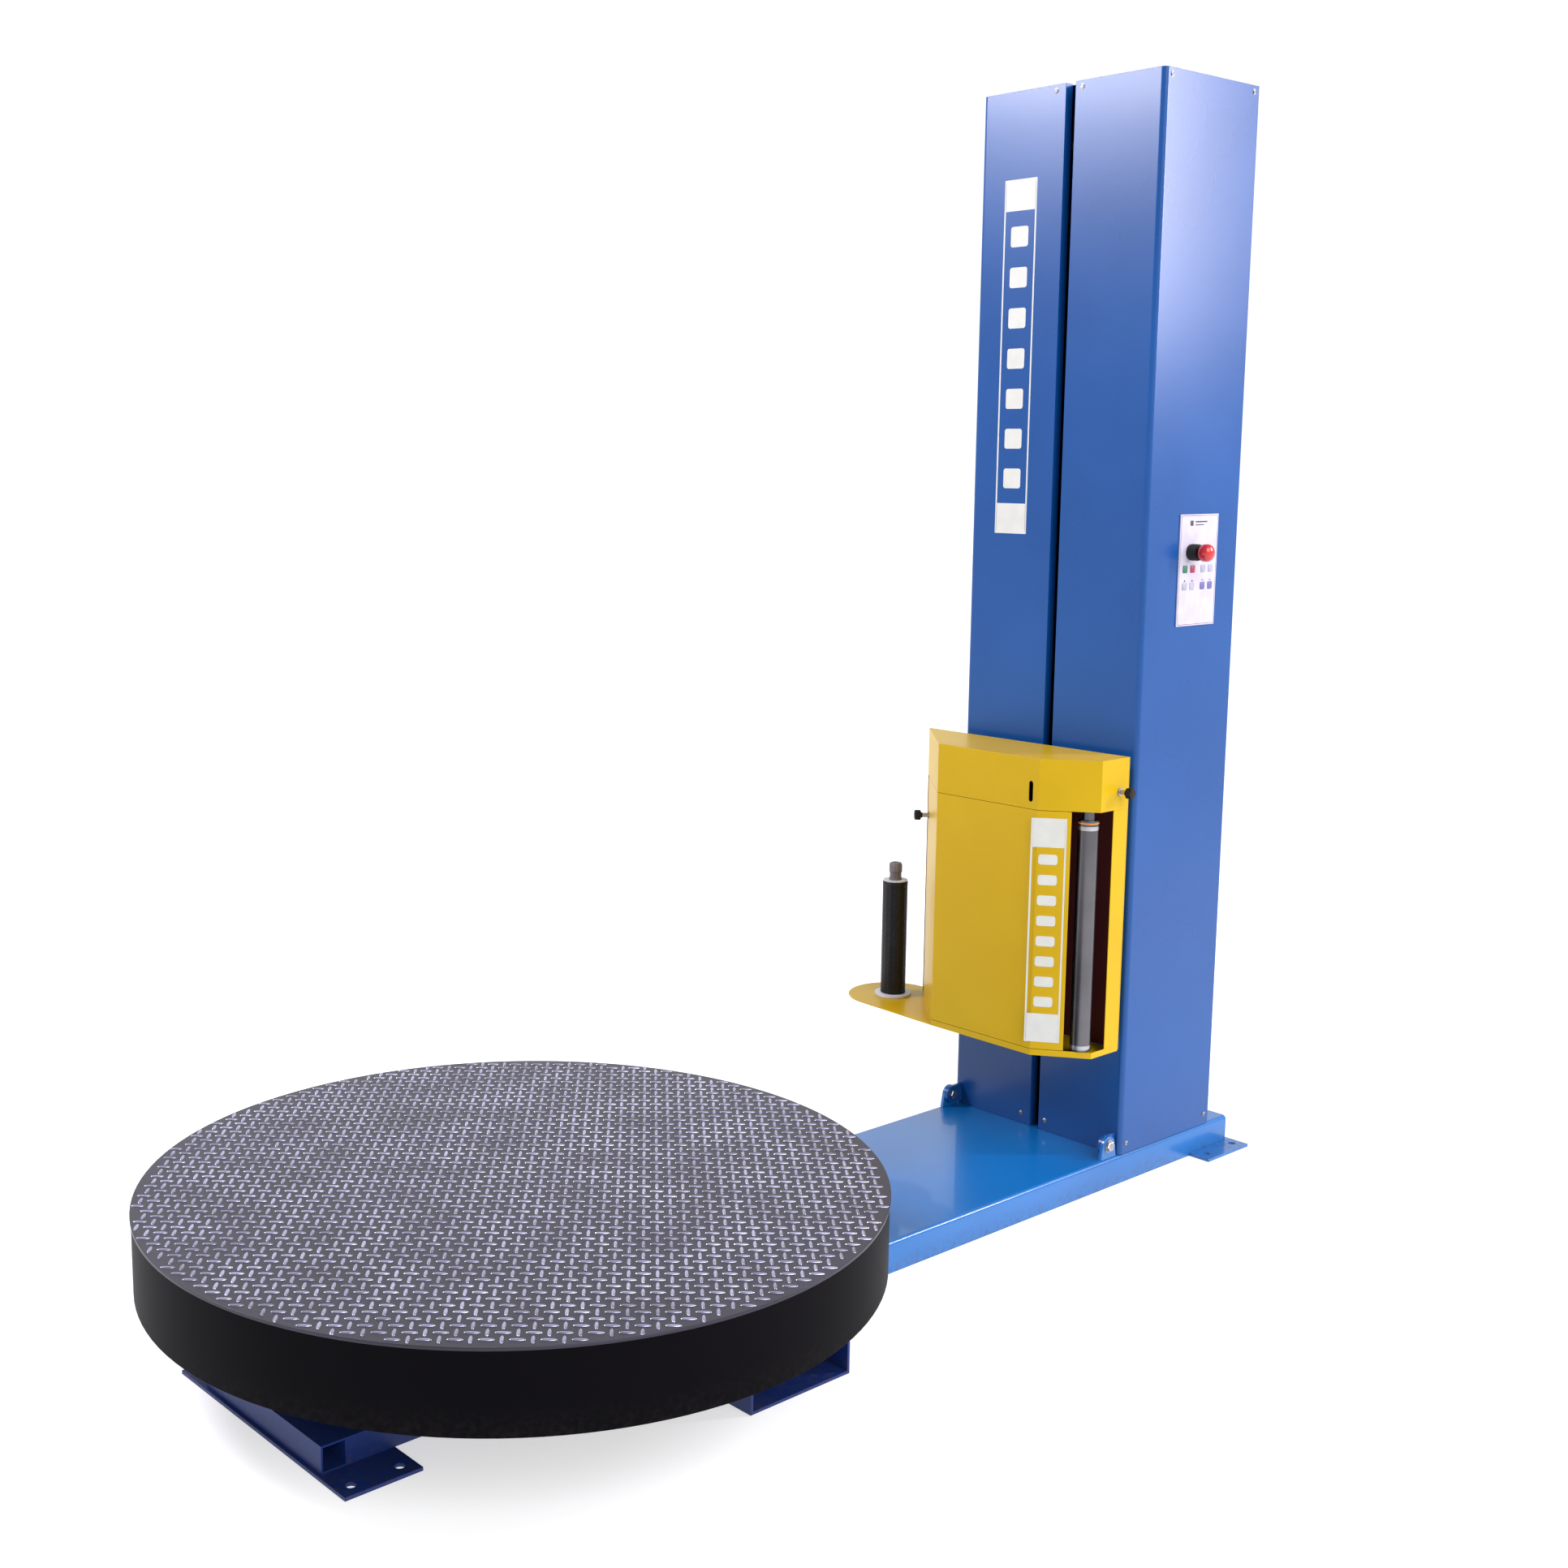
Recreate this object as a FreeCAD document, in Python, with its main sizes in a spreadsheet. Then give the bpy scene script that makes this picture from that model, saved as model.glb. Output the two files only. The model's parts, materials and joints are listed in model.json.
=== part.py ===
import FreeCAD, Part
import Sketcher
import math
import os
from types import SimpleNamespace

from FreeCAD import Placement, Rotation, Vector

# Turntable pallet wrapper, millimetres. The floor is z = 0 and +X points from the turntable to the mast.
# Sizes named "..._from_axis" are measured from the turntable's axis towards the mast.

driving_sizes = {
    # turntable
    "table_radius": 700,
    "table_top": 326,
    "table_plate_thick": 6,
    "skirt_depth": 143,
    "skirt_thick": 3,
    "skirt_inset": 2,
    "rib_height": 58,
    "rib_thick": 8,
    "rib_count": 8,
    "track_thick": 8,
    "track_radius": 430,
    "track_width": 80,
    "hub_radius": 110,
    "hub_height": 124,
    "rib_into_hub": 5,
    # base
    "base_width": 500,
    "base_height": 68,
    "base_sheet": 4,
    "base_bend": 10,
    "base_rear_from_axis": 1970,
    "foot_plate_thick": 7,
    "front_plate_from_axis": 550,
    "front_plate_depth": 150,
    "front_plate_width": 570,
    "rear_plate_from_axis": 1985,
    "rear_plate_depth": 165,
    "rear_plate_width": 610,
    "anchor_radius": 9,
    "anchor_inset": 28,
    "tray_from_axis": 141,
    "tray_width": 248,
    "tray_length": 1000,
    "tray_sheet": 6,
    "rail_front_from_axis": 543,
    "rail_span": 400,
    "rail_width": 50,
    "rail_height": 50,
    # table support and drive
    "arm_width": 60,
    "arm_height": 50,
    "arm_reach": 490,
    "flange_radius": 120,
    "flange_thick": 12,
    "pin_neck_radius": 60,
    "pin_radius": 45,
    "bearing_radius": 75,
    "bearing_height": 36,
    "bearing_rise": 4,
    "pin_above_bearing": 4,
    "hub_above_bearing": 2,
    "wheel_radius": 55,
    "wheel_width": 36,
    "wheel_bore": 10,
    "wheel_hub": 24,
    "wheel_side_gap": 2,
    "bracket_plate": 6,
    "bracket_length": 90,
    "sprocket_thick": 10,
    "sprocket_bore_margin": 5,
    "ring_teeth": 60,
    "drive_teeth": 18,
    "chain_pitch": 15.875,
    "chain_roller": 10.16,
    "drive_distance": 330,
    "motor_plate_thick": 8,
    "motor_plate_margin": 20,
    "gearbox_width": 100,
    "gearbox_height": 110,
    "motor_radius": 45,
    "motor_length": 150,
    "fan_cover_rim": 3,
    "fan_cover_length": 30,
    "drive_shaft_radius": 12,
    "shaft_end": 2,
    # mast
    "mast_front_from_axis": 1538,
    "mast_depth": 357,
    "mast_width": 500,
    "mast_top": 2488,
    "mast_sheet": 2,
    "mast_bend": 12,
    "slot_width": 26,
    "slot_lip": 24,
    "back_flange": 22,
    "mast_foot_thick": 10,
    "screw_radius": 6,
    "screw_head": 3,
    "screw_foot_rise": 26,
    "screw_top_drop": 14,
    "screw_right_side": 32,
    "screw_left_side": 40,
    "screw_edge_inset": 24,
    "back_screw_inset": 40,
    "back_screw_rows": 4,
    "column_offset": 102,
    "column_depth": 150,
    "column_width": 240,
    "column_sheet": 6,
    "column_top_drop": 28,
    "rail_bar_thick": 20,
    "rail_bar_depth": 40,
    "rail_bar_setback": 6,
    "rail_top_drop": 188,
    "lug_setback": 33,
    "lug_height": 30,
    "lug_radius": 22,
    "lug_thick": 8,
    "lug_inset": 6,
    "lug_foot_spread": 6,
    "hinge_bolt_radius": 8,
    "bolt_head_radius": 14.4,
    "bolt_head_thick": 9,
    "bolt_nut_thick": 6,
    "lift_top_drop": 108,
    "lift_foot_height": 150,
    "lift_teeth": 15,
    "lift_setback": 162,
    "lift_gearbox_depth": 102,
    # controls
    "panel_setback": 124,
    "panel_width": 146,
    "panel_bottom": 1288,
    "panel_height": 252,
    "panel_thick": 3,
    "box_margin": 10,
    "box_overreach": 40,
    "box_depth": 95,
    "estop_inset": 43,
    "estop_drop": 85,
    "collar_radius": 18,
    "collar_length": 24,
    "estop_radius": 20,
    "estop_gap": 6,
    "estop_length": 28,
    "estop_stem": 8,
    "estop_crown": 14,
    "key_size": 17,
    "key_pitch": 29,
    "key_middle_gap": 40,
    "key_row_rise": 129,
    "key_row_pitch": 39,
    "key_thick": 1.2,
    "gland_side": 150,
    "gland_rise": 90,
    "gland_nut_radius": 17,
    "gland_nut_thick": 8,
    "gland_radius": 12,
    "gland_length": 26,
    "gland_floor": 4,
    "gland_bore": 5,
    # film carriage
    "carriage_front_gap": 218,
    "carriage_gap": 38,
    "carriage_bottom": 331,
    "carriage_top": 1008,
    "hood_height": 115,
    "carriage_sheet": 2,
    "floor_thick": 3,
    "floor_rim": 14,
    "back_plate_thick": 3,
    "right_side": 261,
    "right_flat": 96,
    "front_right": 152,
    "front_left": 143,
    "left_rear": 330,
    "door_gap": 1,
    "door_edge": 210,
    "side_strip": 49,
    "arm_plate": 12,
    "trolley_height": 400,
    "trolley_rise": 69,
    "trolley_plate": 6,
    "trolley_rail_gap": 8,
    "trolley_setback": 30,
    "trolley_reach": 35,
    "guide_wheel_axle": 8,
    "guide_wheel_inset": 30,
    "guide_wheel_radius": 25,
    "guide_wheel_width": 16,
    "gear_plate_thick": 4,
    # film path
    "spindle_from_rear": 59,
    "spindle_side": 379,
    "spindle_lobe": 110,
    "lobe_neck_inset": 30,
    "spindle_shaft_radius": 12,
    "mandrel_radius": 31,
    "mandrel_length": 285,
    "flange_disc_radius": 45,
    "flange_disc_thick": 6,
    "top_disc_radius": 30,
    "cap_radius": 16.5,
    "cap_length": 43,
    "shaft_in_cap": 30,
    "roller_radius": 40,
    "steel_roller_radius": 23,
    "roller_length": 527,
    "roller_shaft": 10,
    "roller_collar": 14,
    "roller_rise": 1,
    "stretch_from_rear": 89,
    "slow_side": 40,
    "gear_module": 3,
    "slow_teeth": 50,
    "fast_teeth": 22,
    "gear_thick": 14,
    "gear_rise": 1.5,
    "gear_bore": 8,
    "brake_gap": 4,
    "brake_height": 58,
    "brake_shaft": 22,
    "brake_leg_half": 20,
    "brake_leg_overlap": 8,
    "brake_leg_inset": 10,
    "knob_radius": 13,
    "knob_length": 20,
    "knob_shank": 16,
    "knob_stem": 5,
    "tension_inset": 30,
    "tension_rise": 40,
    "latch_share": 0.19,
    "entry_width": 16,
    "latch_drop": 93,
    "infeed_side": 205,
    "exit_from_rear": 95,
    "exit_side": 228,
    "hinge_along": 14,
    "hinge_inset": 10,
    "hinge_rod_radius": 4,
    "knuckle_radius": 8.5,
    "knuckle_height": 40,
    "groove_depth": 2,
    "groove_count": 14,
    "sight_slot_width": 12,
    "sight_slot_height": 47,
    "sight_slot_rise": 16,
    "sight_slot_side": 130,
    # clearances between pieces that move or pass each other
    "running_fit": 0.05,
    "small_gap": 0.3,
    "tool_excess": 1,
    "chain_gap": 0.6,
}

doc = FreeCAD.newDocument("pallet_wrapper")
sheet = doc.addObject("Spreadsheet::Sheet", "Sizes")
for row, (alias, number) in enumerate(driving_sizes.items(), start=1):
    sheet.set(f"A{row}", alias)
    sheet.set(f"B{row}", str(number))
    sheet.setAlias(f"B{row}", alias)
doc.recompute()


class Size:
    # A length that carries the sheet expression it comes from, and its present value.
    def __init__(self, text, value):
        self.text = text
        self.value = value

    def __float__(self):
        return float(self.value)

    def __add__(self, other):
        return Size(f"({self.text} + {text_of(other)})", self.value + float(other))

    def __sub__(self, other):
        return Size(f"({self.text} - {text_of(other)})", self.value - float(other))

    def __mul__(self, other):
        return Size(f"({self.text} * {text_of(other)})", self.value * float(other))

    def __truediv__(self, other):
        return Size(f"({self.text} / {text_of(other)})", self.value / float(other))

    def __rtruediv__(self, other):
        return Size(f"({text_of(other)} / {self.text})", float(other) / self.value)

    def __neg__(self):
        return Size(f"(0 - {self.text})", -self.value)

    __radd__ = __add__
    __rmul__ = __mul__

    def __rsub__(self, other):
        return Size(f"({text_of(other)} - {self.text})", float(other) - self.value)


def text_of(size):
    return size.text if isinstance(size, Size) else f"{float(size):.9g}"


def root(value):
    return Size(f"sqrt({text_of(value)})", math.sqrt(float(value)))


def least(first, second):
    return Size(f"min({text_of(first)}; {text_of(second)})", min(float(first), float(second)))


def sine(degrees):
    return Size(f"sin({text_of(degrees)})", math.sin(math.radians(float(degrees))))


def cosine(degrees):
    return Size(f"cos({text_of(degrees)})", math.cos(math.radians(float(degrees))))


size = SimpleNamespace(**{name: Size(f"Sizes.{name}", float(sheet.get(name))) for name in driving_sizes})


def bind(owner, path, value):
    # Ties a property to the sheet, or sets it where it is a plain number.
    owner.setExpression(path, text_of(value))


def place(owner, x=0, y=0, z=0, rotation=None):
    if rotation is not None:
        owner.Placement = Placement(Vector(0, 0, 0), rotation)
    bind(owner, "Placement.Base.x", x)
    bind(owner, "Placement.Base.y", y)
    bind(owner, "Placement.Base.z", z)


# the name says where the piece's own +Z points; "loop" also stands the piece's +X upright
facing = {
    "z": Rotation(),
    "x": Rotation(Vector(0, 1, 0), Vector(0, 0, 1), Vector(1, 0, 0), "ZXY"),
    "-y": Rotation(Vector(1, 0, 0), Vector(0, 0, 1), Vector(0, -1, 0), "ZXY"),
    "y": Rotation(Vector(-1, 0, 0), Vector(0, 0, 1), Vector(0, 1, 0), "ZXY"),
    "loop": Rotation(Vector(0, 0, 1), Vector(-1, 0, 0), Vector(0, -1, 0), "ZXY"),
}

nodes = []


def finish(piece, name):
    piece.Label = name
    nodes.append(piece)
    return piece


def box(name, x, y, z):
    # A block given by its (low, high) pairs.
    block = doc.addObject("Part::Box", name)
    bind(block, "Length", x[1] - x[0])
    bind(block, "Width", y[1] - y[0])
    bind(block, "Height", z[1] - z[0])
    place(block, x[0], y[0], z[0])
    return block


def rod(name, radius, length, x, y, z, way="z"):
    # A round bar that starts at a point and runs one way.
    bar = doc.addObject("Part::Cylinder", name)
    bind(bar, "Radius", radius)
    bind(bar, "Height", length)
    place(bar, x, y, z, facing[way])
    return bar


def tube(name, outer, inner, length, x, y, z, way="z"):
    return cut(name, rod(name + "_outer", outer, length, x, y, z, way),
               rod(name + "_bore", inner, length, x, y, z, way))


def cut(name, base, *tools):
    result = base
    for number, tool in enumerate(tools):
        step = doc.addObject("Part::Cut", f"{name}_cut_{number}")
        step.Base = result
        step.Tool = tool
        result = step
    return result


def fuse(name, *pieces):
    joined = doc.addObject("Part::MultiFuse", name + "_fuse")
    joined.Shapes = list(pieces)
    joined.Refine = True
    return joined


def group(name, *pieces):
    # Separate solids that share one node.
    gathered = doc.addObject("Part::Compound", name + "_group")
    gathered.Links = list(pieces)
    return gathered


def plane_of(body, role):
    return next(item for item in body.Origin.OriginFeatures if item.Role == role)


def new_sketch(body, name, role="XY_Plane"):
    sketch = body.newObject("Sketcher::SketchObject", name)
    sketch.AttachmentSupport = (plane_of(body, role), [""])
    sketch.MapMode = "FlatFace"
    return sketch


def dimension(sketch, kind, where, value):
    # Adds one dimension to a sketch and ties it to the sheet.
    number = sketch.addConstraint(Sketcher.Constraint(kind, *where, float(value)))
    if isinstance(value, Size):
        sketch.setExpression(f"Constraints[{number}]", value.text)


def shifted(x, y, towards, distance):
    across = float(towards[0]) - float(x)
    along = float(towards[1]) - float(y)
    if abs(across) > abs(along):
        return (x + math.copysign(1, across) * distance, y)
    return (x, y + math.copysign(1, along) * distance)


def corners_opened(points):
    # An (x, y, radius) corner between square edges becomes the two ends of its arc.
    opened = []
    for number, point in enumerate(points):
        if len(point) == 2:
            opened.append((point, None))
            continue
        x, y, radius = point
        opened.append((shifted(x, y, points[number - 1], radius), point))
        opened.append((shifted(x, y, points[(number + 1) % len(points)], radius), None))
    return opened


def corner_arc(start, end, corner):
    # The quarter circle that rounds a corner, and which of its ends come first and last on the outline.
    centre = start + end - Vector(float(corner[0]), float(corner[1]), 0)
    first, last = [math.atan2(point.y - centre.y, point.x - centre.x) for point in (start, end)]
    clockwise = (last - first) % (2 * math.pi) > math.pi
    if clockwise:
        first, last = last, first
    circle = Part.Circle(centre, Vector(0, 0, 1), float(corner[2]))
    return Part.ArcOfCircle(circle, first, last), (2, 1) if clockwise else (1, 2)


def draw(sketch, points):
    # A closed outline, every corner dimensioned from the sketch's origin.
    opened = corners_opened(points)
    edges = []
    for number, (point, corner) in enumerate(opened):
        following = opened[(number + 1) % len(opened)][0]
        start = Vector(float(point[0]), float(point[1]), 0)
        end = Vector(float(following[0]), float(following[1]), 0)
        shape, ends = corner_arc(start, end, corner) if corner else (Part.LineSegment(start, end), (1, 2))
        edges.append((sketch.addGeometry(shape, False), ends))
    for index, (edge, ends) in enumerate(edges):
        next_edge, next_ends = edges[(index + 1) % len(edges)]
        sketch.addConstraint(Sketcher.Constraint("Coincident", edge, ends[1], next_edge, next_ends[0]))
        (x, y), corner = opened[index]
        dimension(sketch, "DistanceX", (-1, 1, edge, ends[0]), x)
        dimension(sketch, "DistanceY", (-1, 1, edge, ends[0]), y)
        if corner:
            dimension(sketch, "Radius", (edge,), corner[2])


def draw_circle(sketch, radius, x=0, y=0):
    circle = Part.Circle(Vector(float(x), float(y), 0), Vector(0, 0, 1), float(radius))
    number = sketch.addGeometry(circle, False)
    dimension(sketch, "DistanceX", (-1, 1, number, 3), x)
    dimension(sketch, "DistanceY", (-1, 1, number, 3), y)
    dimension(sketch, "Radius", (number,), radius)


def new_body(name):
    return doc.addObject("PartDesign::Body", name)


def add_pad(body, name, points, height):
    sketch = new_sketch(body, name + "_outline")
    draw(sketch, points)
    pad = body.newObject("PartDesign::Pad", name + "_pad")
    pad.Profile = sketch
    bind(pad, "Length", height)
    return pad


def prism(name, points, height):
    body = new_body(name)
    add_pad(body, name, points, height)
    return body


def rectangle(x, y):
    return [(x[0], y[0]), (x[1], y[0]), (x[1], y[1]), (x[0], y[1])]


def turned(name, points, body=None):
    # A piece turned about its own Z axis from (radius, height) points.
    body = body or new_body(name)
    sketch = new_sketch(body, name + "_profile", "XZ_Plane")
    draw(sketch, points)
    turning = body.newObject("PartDesign::Revolution", name + "_turning")
    turning.Profile = sketch
    turning.ReferenceAxis = (sketch, ["V_Axis"])
    turning.Angle = 360
    return body


def repeat_round(body, feature, count):
    # Repeats a feature round the body's Z axis.
    pattern = body.newObject("PartDesign::PolarPattern", feature.Name + "_round")
    pattern.Originals = [feature]
    pattern.Axis = (plane_of(body, "Z_Axis"), [""])
    pattern.Angle = 360
    bind(pattern, "Occurrences", count)
    body.Tip = pattern
    return pattern


def toothed(name, outer, gap_radius, gap_points, thickness, teeth, bore):
    # A disc with a bore and one gap cut between two teeth, repeated round it.
    body = new_body(name)
    disc_sketch = new_sketch(body, name + "_disc")
    draw_circle(disc_sketch, outer)
    draw_circle(disc_sketch, bore)
    disc = body.newObject("PartDesign::Pad", name + "_pad")
    disc.Profile = disc_sketch
    bind(disc, "Length", thickness)
    gap_sketch = new_sketch(body, name + "_gap")
    if gap_points:
        draw(gap_sketch, gap_points)
    else:
        draw_circle(gap_sketch, gap_radius[0], gap_radius[1])
    gap = body.newObject("PartDesign::Pocket", name + "_gap_cut")
    gap.Profile = gap_sketch
    gap.Type = "ThroughAll"
    gap.Midplane = True
    repeat_round(body, gap, teeth)
    return body


def pitch_radius(teeth):
    return size.chain_pitch / 2 / sine(180 / teeth)


def tip_radius(teeth):
    return pitch_radius(teeth) + size.chain_pitch * 0.3


def sprocket(name, teeth, bore):
    seat = (size.chain_roller / 2 + size.small_gap, pitch_radius(teeth))
    return toothed(name, tip_radius(teeth), seat, None, size.sprocket_thick, teeth, bore)


def loop_block(name, big, small, distance, height):
    # The space inside a belt round two wheels, the big one at the origin and the small one along +X.
    lean = (big - small) / distance
    upright = root(1 - lean * lean)
    flank = prism(name + "_flank", [
        (big * lean, -(big * upright)), (distance + small * lean, -(small * upright)),
        (distance + small * lean, small * upright), (big * lean, big * upright)], height)
    return fuse(name, flank, rod(name + "_big", big, height, 0, 0, 0),
                rod(name + "_small", small, height, distance, 0, 0))


def chain(name, big_teeth, small_teeth, distance):
    inner = [tip_radius(teeth) + size.chain_gap for teeth in (big_teeth, small_teeth)]
    outer = [radius + size.chain_roller / 2 + size.chain_gap for radius in inner]
    band = loop_block(name + "_outside", *outer, distance, size.sprocket_thick)
    return cut(name, band, loop_block(name + "_inside", *inner, distance, size.sprocket_thick))


def placed(piece, x, y, z, rotation=None):
    place(piece, x, y, z, rotation)
    return piece


def about_z(degrees):
    return Rotation(Vector(0, 0, 1), degrees)


def hollow_bar(name, x, y, z, wall, along):
    # A rectangular tube along "x" or "y", open at both ends.
    spans = {"x": x, "y": y, "z": z}
    inner = {axis: pair if axis == along else (pair[0] + wall, pair[1] - wall)
             for axis, pair in spans.items()}
    return cut(name, box(name + "_outer", x, y, z), box(name + "_inside", inner["x"], inner["y"], inner["z"]))


# Places that several pieces share.
axis_x = (size.table_radius - size.rear_plate_from_axis) / 2
tray_front = axis_x + size.tray_from_axis
tray_rear = tray_front + size.tray_width
rail_top = size.foot_plate_thick + size.rail_height
motor_bottom = rail_top + size.motor_plate_thick
arm_top = size.base_height + size.arm_height
plate_bottom = size.table_top - size.table_plate_thick
rib_bottom = plate_bottom - size.rib_height
track_bottom = rib_bottom - size.track_thick
hub_bottom = plate_bottom - size.hub_height
bearing_bottom = hub_bottom + size.bearing_rise
bearing_top = bearing_bottom + size.bearing_height
chain_bottom = hub_bottom - size.sprocket_thick
wheel_level = track_bottom - size.small_gap - size.wheel_radius
mast_front = axis_x + size.mast_front_from_axis
mast_half = size.mast_width / 2
panel_face = mast_half + size.panel_thick
cover_rear = mast_front + size.mast_depth - size.mast_sheet
slot_half = size.slot_width / 2
lip_end = mast_front + size.slot_lip
foot_top = size.base_height + size.mast_foot_thick
column_front = mast_front + size.column_offset
column_rear = column_front + size.column_depth
column_half = size.column_width / 2
column_inside = column_half - size.column_sheet
rail_front = column_front + size.rail_bar_setback
lift_x = mast_front + size.lift_setback
lift_top = size.mast_top - size.lift_top_drop
pivot_x = mast_front - size.lug_setback
pivot_z = size.base_height + size.lug_height
carriage_front = mast_front - size.carriage_front_gap
carriage_rear = mast_front - size.carriage_gap
shell_rear = carriage_rear - size.back_plate_thick
floor_top = size.carriage_bottom + size.floor_thick
rim_top = size.carriage_bottom + size.floor_rim
hood_bottom = size.carriage_top - size.hood_height
gear_plate_top = hood_bottom + size.gear_plate_thick
gear_bottom = gear_plate_top + size.gear_rise
gear_top = gear_bottom + size.gear_thick
chamfer_start = shell_rear - size.right_flat
chamfer_run = chamfer_start - carriage_front
chamfer_rise = size.right_side - size.front_right
chamfer_length = root(chamfer_run * chamfer_run + chamfer_rise * chamfer_rise)
left_run = shell_rear - carriage_front
left_rise = size.left_rear - size.front_left
left_length = root(left_run * left_run + left_rise * left_rise)
spindle_x = carriage_rear - size.spindle_from_rear
stretch_x = shell_rear - size.stretch_from_rear
gear_distance = size.gear_module * (size.slow_teeth + size.fast_teeth) / 2
fast_side = size.slow_side - gear_distance
rear_plate_front = axis_x + size.rear_plate_from_axis - size.rear_plate_depth
front_plate_start = axis_x - size.front_plate_from_axis
knob_x = shell_rear - size.tension_inset
knob_z = hood_bottom + size.tension_rise
latch_x = shell_rear - left_run * size.latch_share
latch_y = size.left_rear - left_rise * size.latch_share
latch_z = hood_bottom - size.latch_drop
door_share = (size.door_edge - size.front_right) / chamfer_rise
edge_x = carriage_front + chamfer_run * door_share
chamfer_cosine = chamfer_run / chamfer_length
chamfer_sine = chamfer_rise / chamfer_length
hinge_x = edge_x - chamfer_cosine * size.hinge_along + chamfer_sine * size.hinge_inset
hinge_y = chamfer_sine * size.hinge_along + chamfer_cosine * size.hinge_inset - size.door_edge


wheel_angles = (45, 135, 225, 315)


def base_channel():
    beyond = size.tool_excess
    half = size.base_width / 2
    inside = half - size.base_sheet
    top = size.base_height
    under = top - size.base_sheet
    inner_bend = size.base_bend - size.base_sheet
    length = axis_x + size.base_rear_from_axis - tray_rear
    folded = prism("channel_fold", [
        (-half, 0), (-half, top, size.base_bend), (half, top, size.base_bend), (half, 0),
        (inside, 0), (inside, under, inner_bend), (-inside, under, inner_bend), (-inside, 0)], length)
    place(folded, tray_rear, 0, 0, facing["x"])
    rear = tray_rear + length
    closing = box("channel_end", (rear - size.base_sheet, rear), (-inside, inside),
                  (size.foot_plate_thick, top - size.base_bend))
    welded = fuse("channel", folded, closing)
    notch = box("channel_notch", (rear_plate_front, rear + beyond), (-half - beyond, half + beyond),
                (-beyond, size.foot_plate_thick))
    finish(cut("base_channel", welded, notch), "base_channel")


def foot_plate(name, x, width):
    # A floor plate with an anchor hole near each corner.
    half = width / 2
    thick = size.foot_plate_thick
    holes = []
    for end, along in enumerate((x[0] + size.anchor_inset, x[1] - size.anchor_inset)):
        for side, across in enumerate((size.anchor_inset - half, half - size.anchor_inset)):
            holes.append(rod(f"{name}_hole_{end}{side}", size.anchor_radius, thick, along, across, 0))
    finish(cut(name, box(name + "_blank", x, (-half, half), (0, thick)), *holes), name)


def fork_tray():
    # The cross channel that fork tines enter from either side.
    half = size.tray_length / 2
    sheet_thick = size.tray_sheet
    folded = prism("fork_tray", [
        (tray_front, 0), (tray_rear, 0), (tray_rear, size.base_height),
        (tray_rear - sheet_thick, size.base_height), (tray_rear - sheet_thick, sheet_thick),
        (tray_front + sheet_thick, sheet_thick), (tray_front + sheet_thick, size.base_height),
        (tray_front, size.base_height)], size.tray_length)
    place(folded, 0, half, 0, facing["-y"])
    finish(folded, "fork_tray")


def under_frame():
    # Two hollow rails, their end beam, the motor's plate and the packers under the cross arms.
    bottom = size.foot_plate_thick
    front = axis_x - size.rail_front_from_axis
    outside = size.rail_span / 2
    inside = outside - size.rail_width
    wall = size.base_sheet
    motor_x = axis_x - size.drive_distance
    plate_half = size.gearbox_width / 2 + size.motor_plate_margin
    motor_plate = box("motor_plate", (motor_x - plate_half, motor_x + plate_half), (-outside, outside),
                      (rail_top, motor_bottom))
    pieces = [motor_plate]
    for side in (-1, 1):
        y = (inside, outside) if side > 0 else (-outside, -inside)
        name = "left" if side > 0 else "right"
        pieces.append(hollow_bar(f"rail_{name}", (front + size.rail_width, tray_front), y, (bottom, rail_top),
                                 wall, "x"))
        packer_x = axis_x - (outside - size.rail_width / 2)
        pieces.append(box(f"packer_{name}", (packer_x - size.arm_width / 2, packer_x + size.arm_width / 2), y,
                          (rail_top, size.base_height)))
    pieces.append(hollow_bar("rail_end", (front, front + size.rail_width), (-outside, outside),
                             (bottom, rail_top), wall, "y"))
    finish(fuse("under_frame", *pieces), "under_frame")


def support_spider():
    # Two square tubes crossed at the table's axis, carrying the king pin and the wheels.
    bars = []
    hollows = []
    for number, degrees in enumerate(wheel_angles[:2]):
        for kind, inset, keep in (("arm", 0, bars), ("hollow", size.base_sheet, hollows)):
            across = size.arm_width / 2 - inset
            outline = rectangle((-size.arm_reach, size.arm_reach), (-across, across))
            bar = prism(f"spider_{kind}_{number}", outline, size.arm_height - inset * 2)
            place(bar, axis_x, 0, size.base_height + inset, about_z(degrees))
            keep.append(bar)
    finish(cut("support_spider", fuse("spider_bars", *bars), *hollows), "support_spider")


def round_the_table(piece, degrees, z, rotation=None):
    # Puts a piece on the wheel circle, its own +X pointing away from the axis.
    place(piece, axis_x + size.track_radius * cosine(degrees), size.track_radius * sine(degrees), z,
          about_z(degrees) * rotation if rotation else about_z(degrees))
    return piece


def wheel_brackets():
    brackets = []
    plate = size.bracket_plate
    half = size.wheel_width / 2 + size.wheel_side_gap
    foot = size.bracket_length / 2
    axle_rise = wheel_level - arm_top
    cheek = size.arm_width / 2
    for number, degrees in enumerate(wheel_angles):
        name = f"bracket_{number}"
        parts = [box(name + "_foot", (-half - plate, half + plate), (-foot, foot), (0, plate)),
                 box(name + "_inner", (-half - plate, -half), (-cheek, cheek), (0, axle_rise + cheek / 2)),
                 box(name + "_outer", (half, half + plate), (-cheek, cheek), (0, axle_rise + cheek / 2))]
        # A wheel that reaches down to the foot turns in a pocket.
        room = rod(name + "_room", size.wheel_radius + size.wheel_side_gap, half * 2, -half, 0, axle_rise, "x")
        yoke = cut(name + "_yoke", fuse(name + "_plates", *parts), room)
        axle = rod(name + "_axle", size.wheel_bore, (half + plate) * 2, -half - plate, 0, axle_rise, "x")
        brackets.append(round_the_table(fuse(name, yoke, axle), degrees, arm_top))
    finish(group("wheel_brackets", *brackets), "wheel_brackets")


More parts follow.
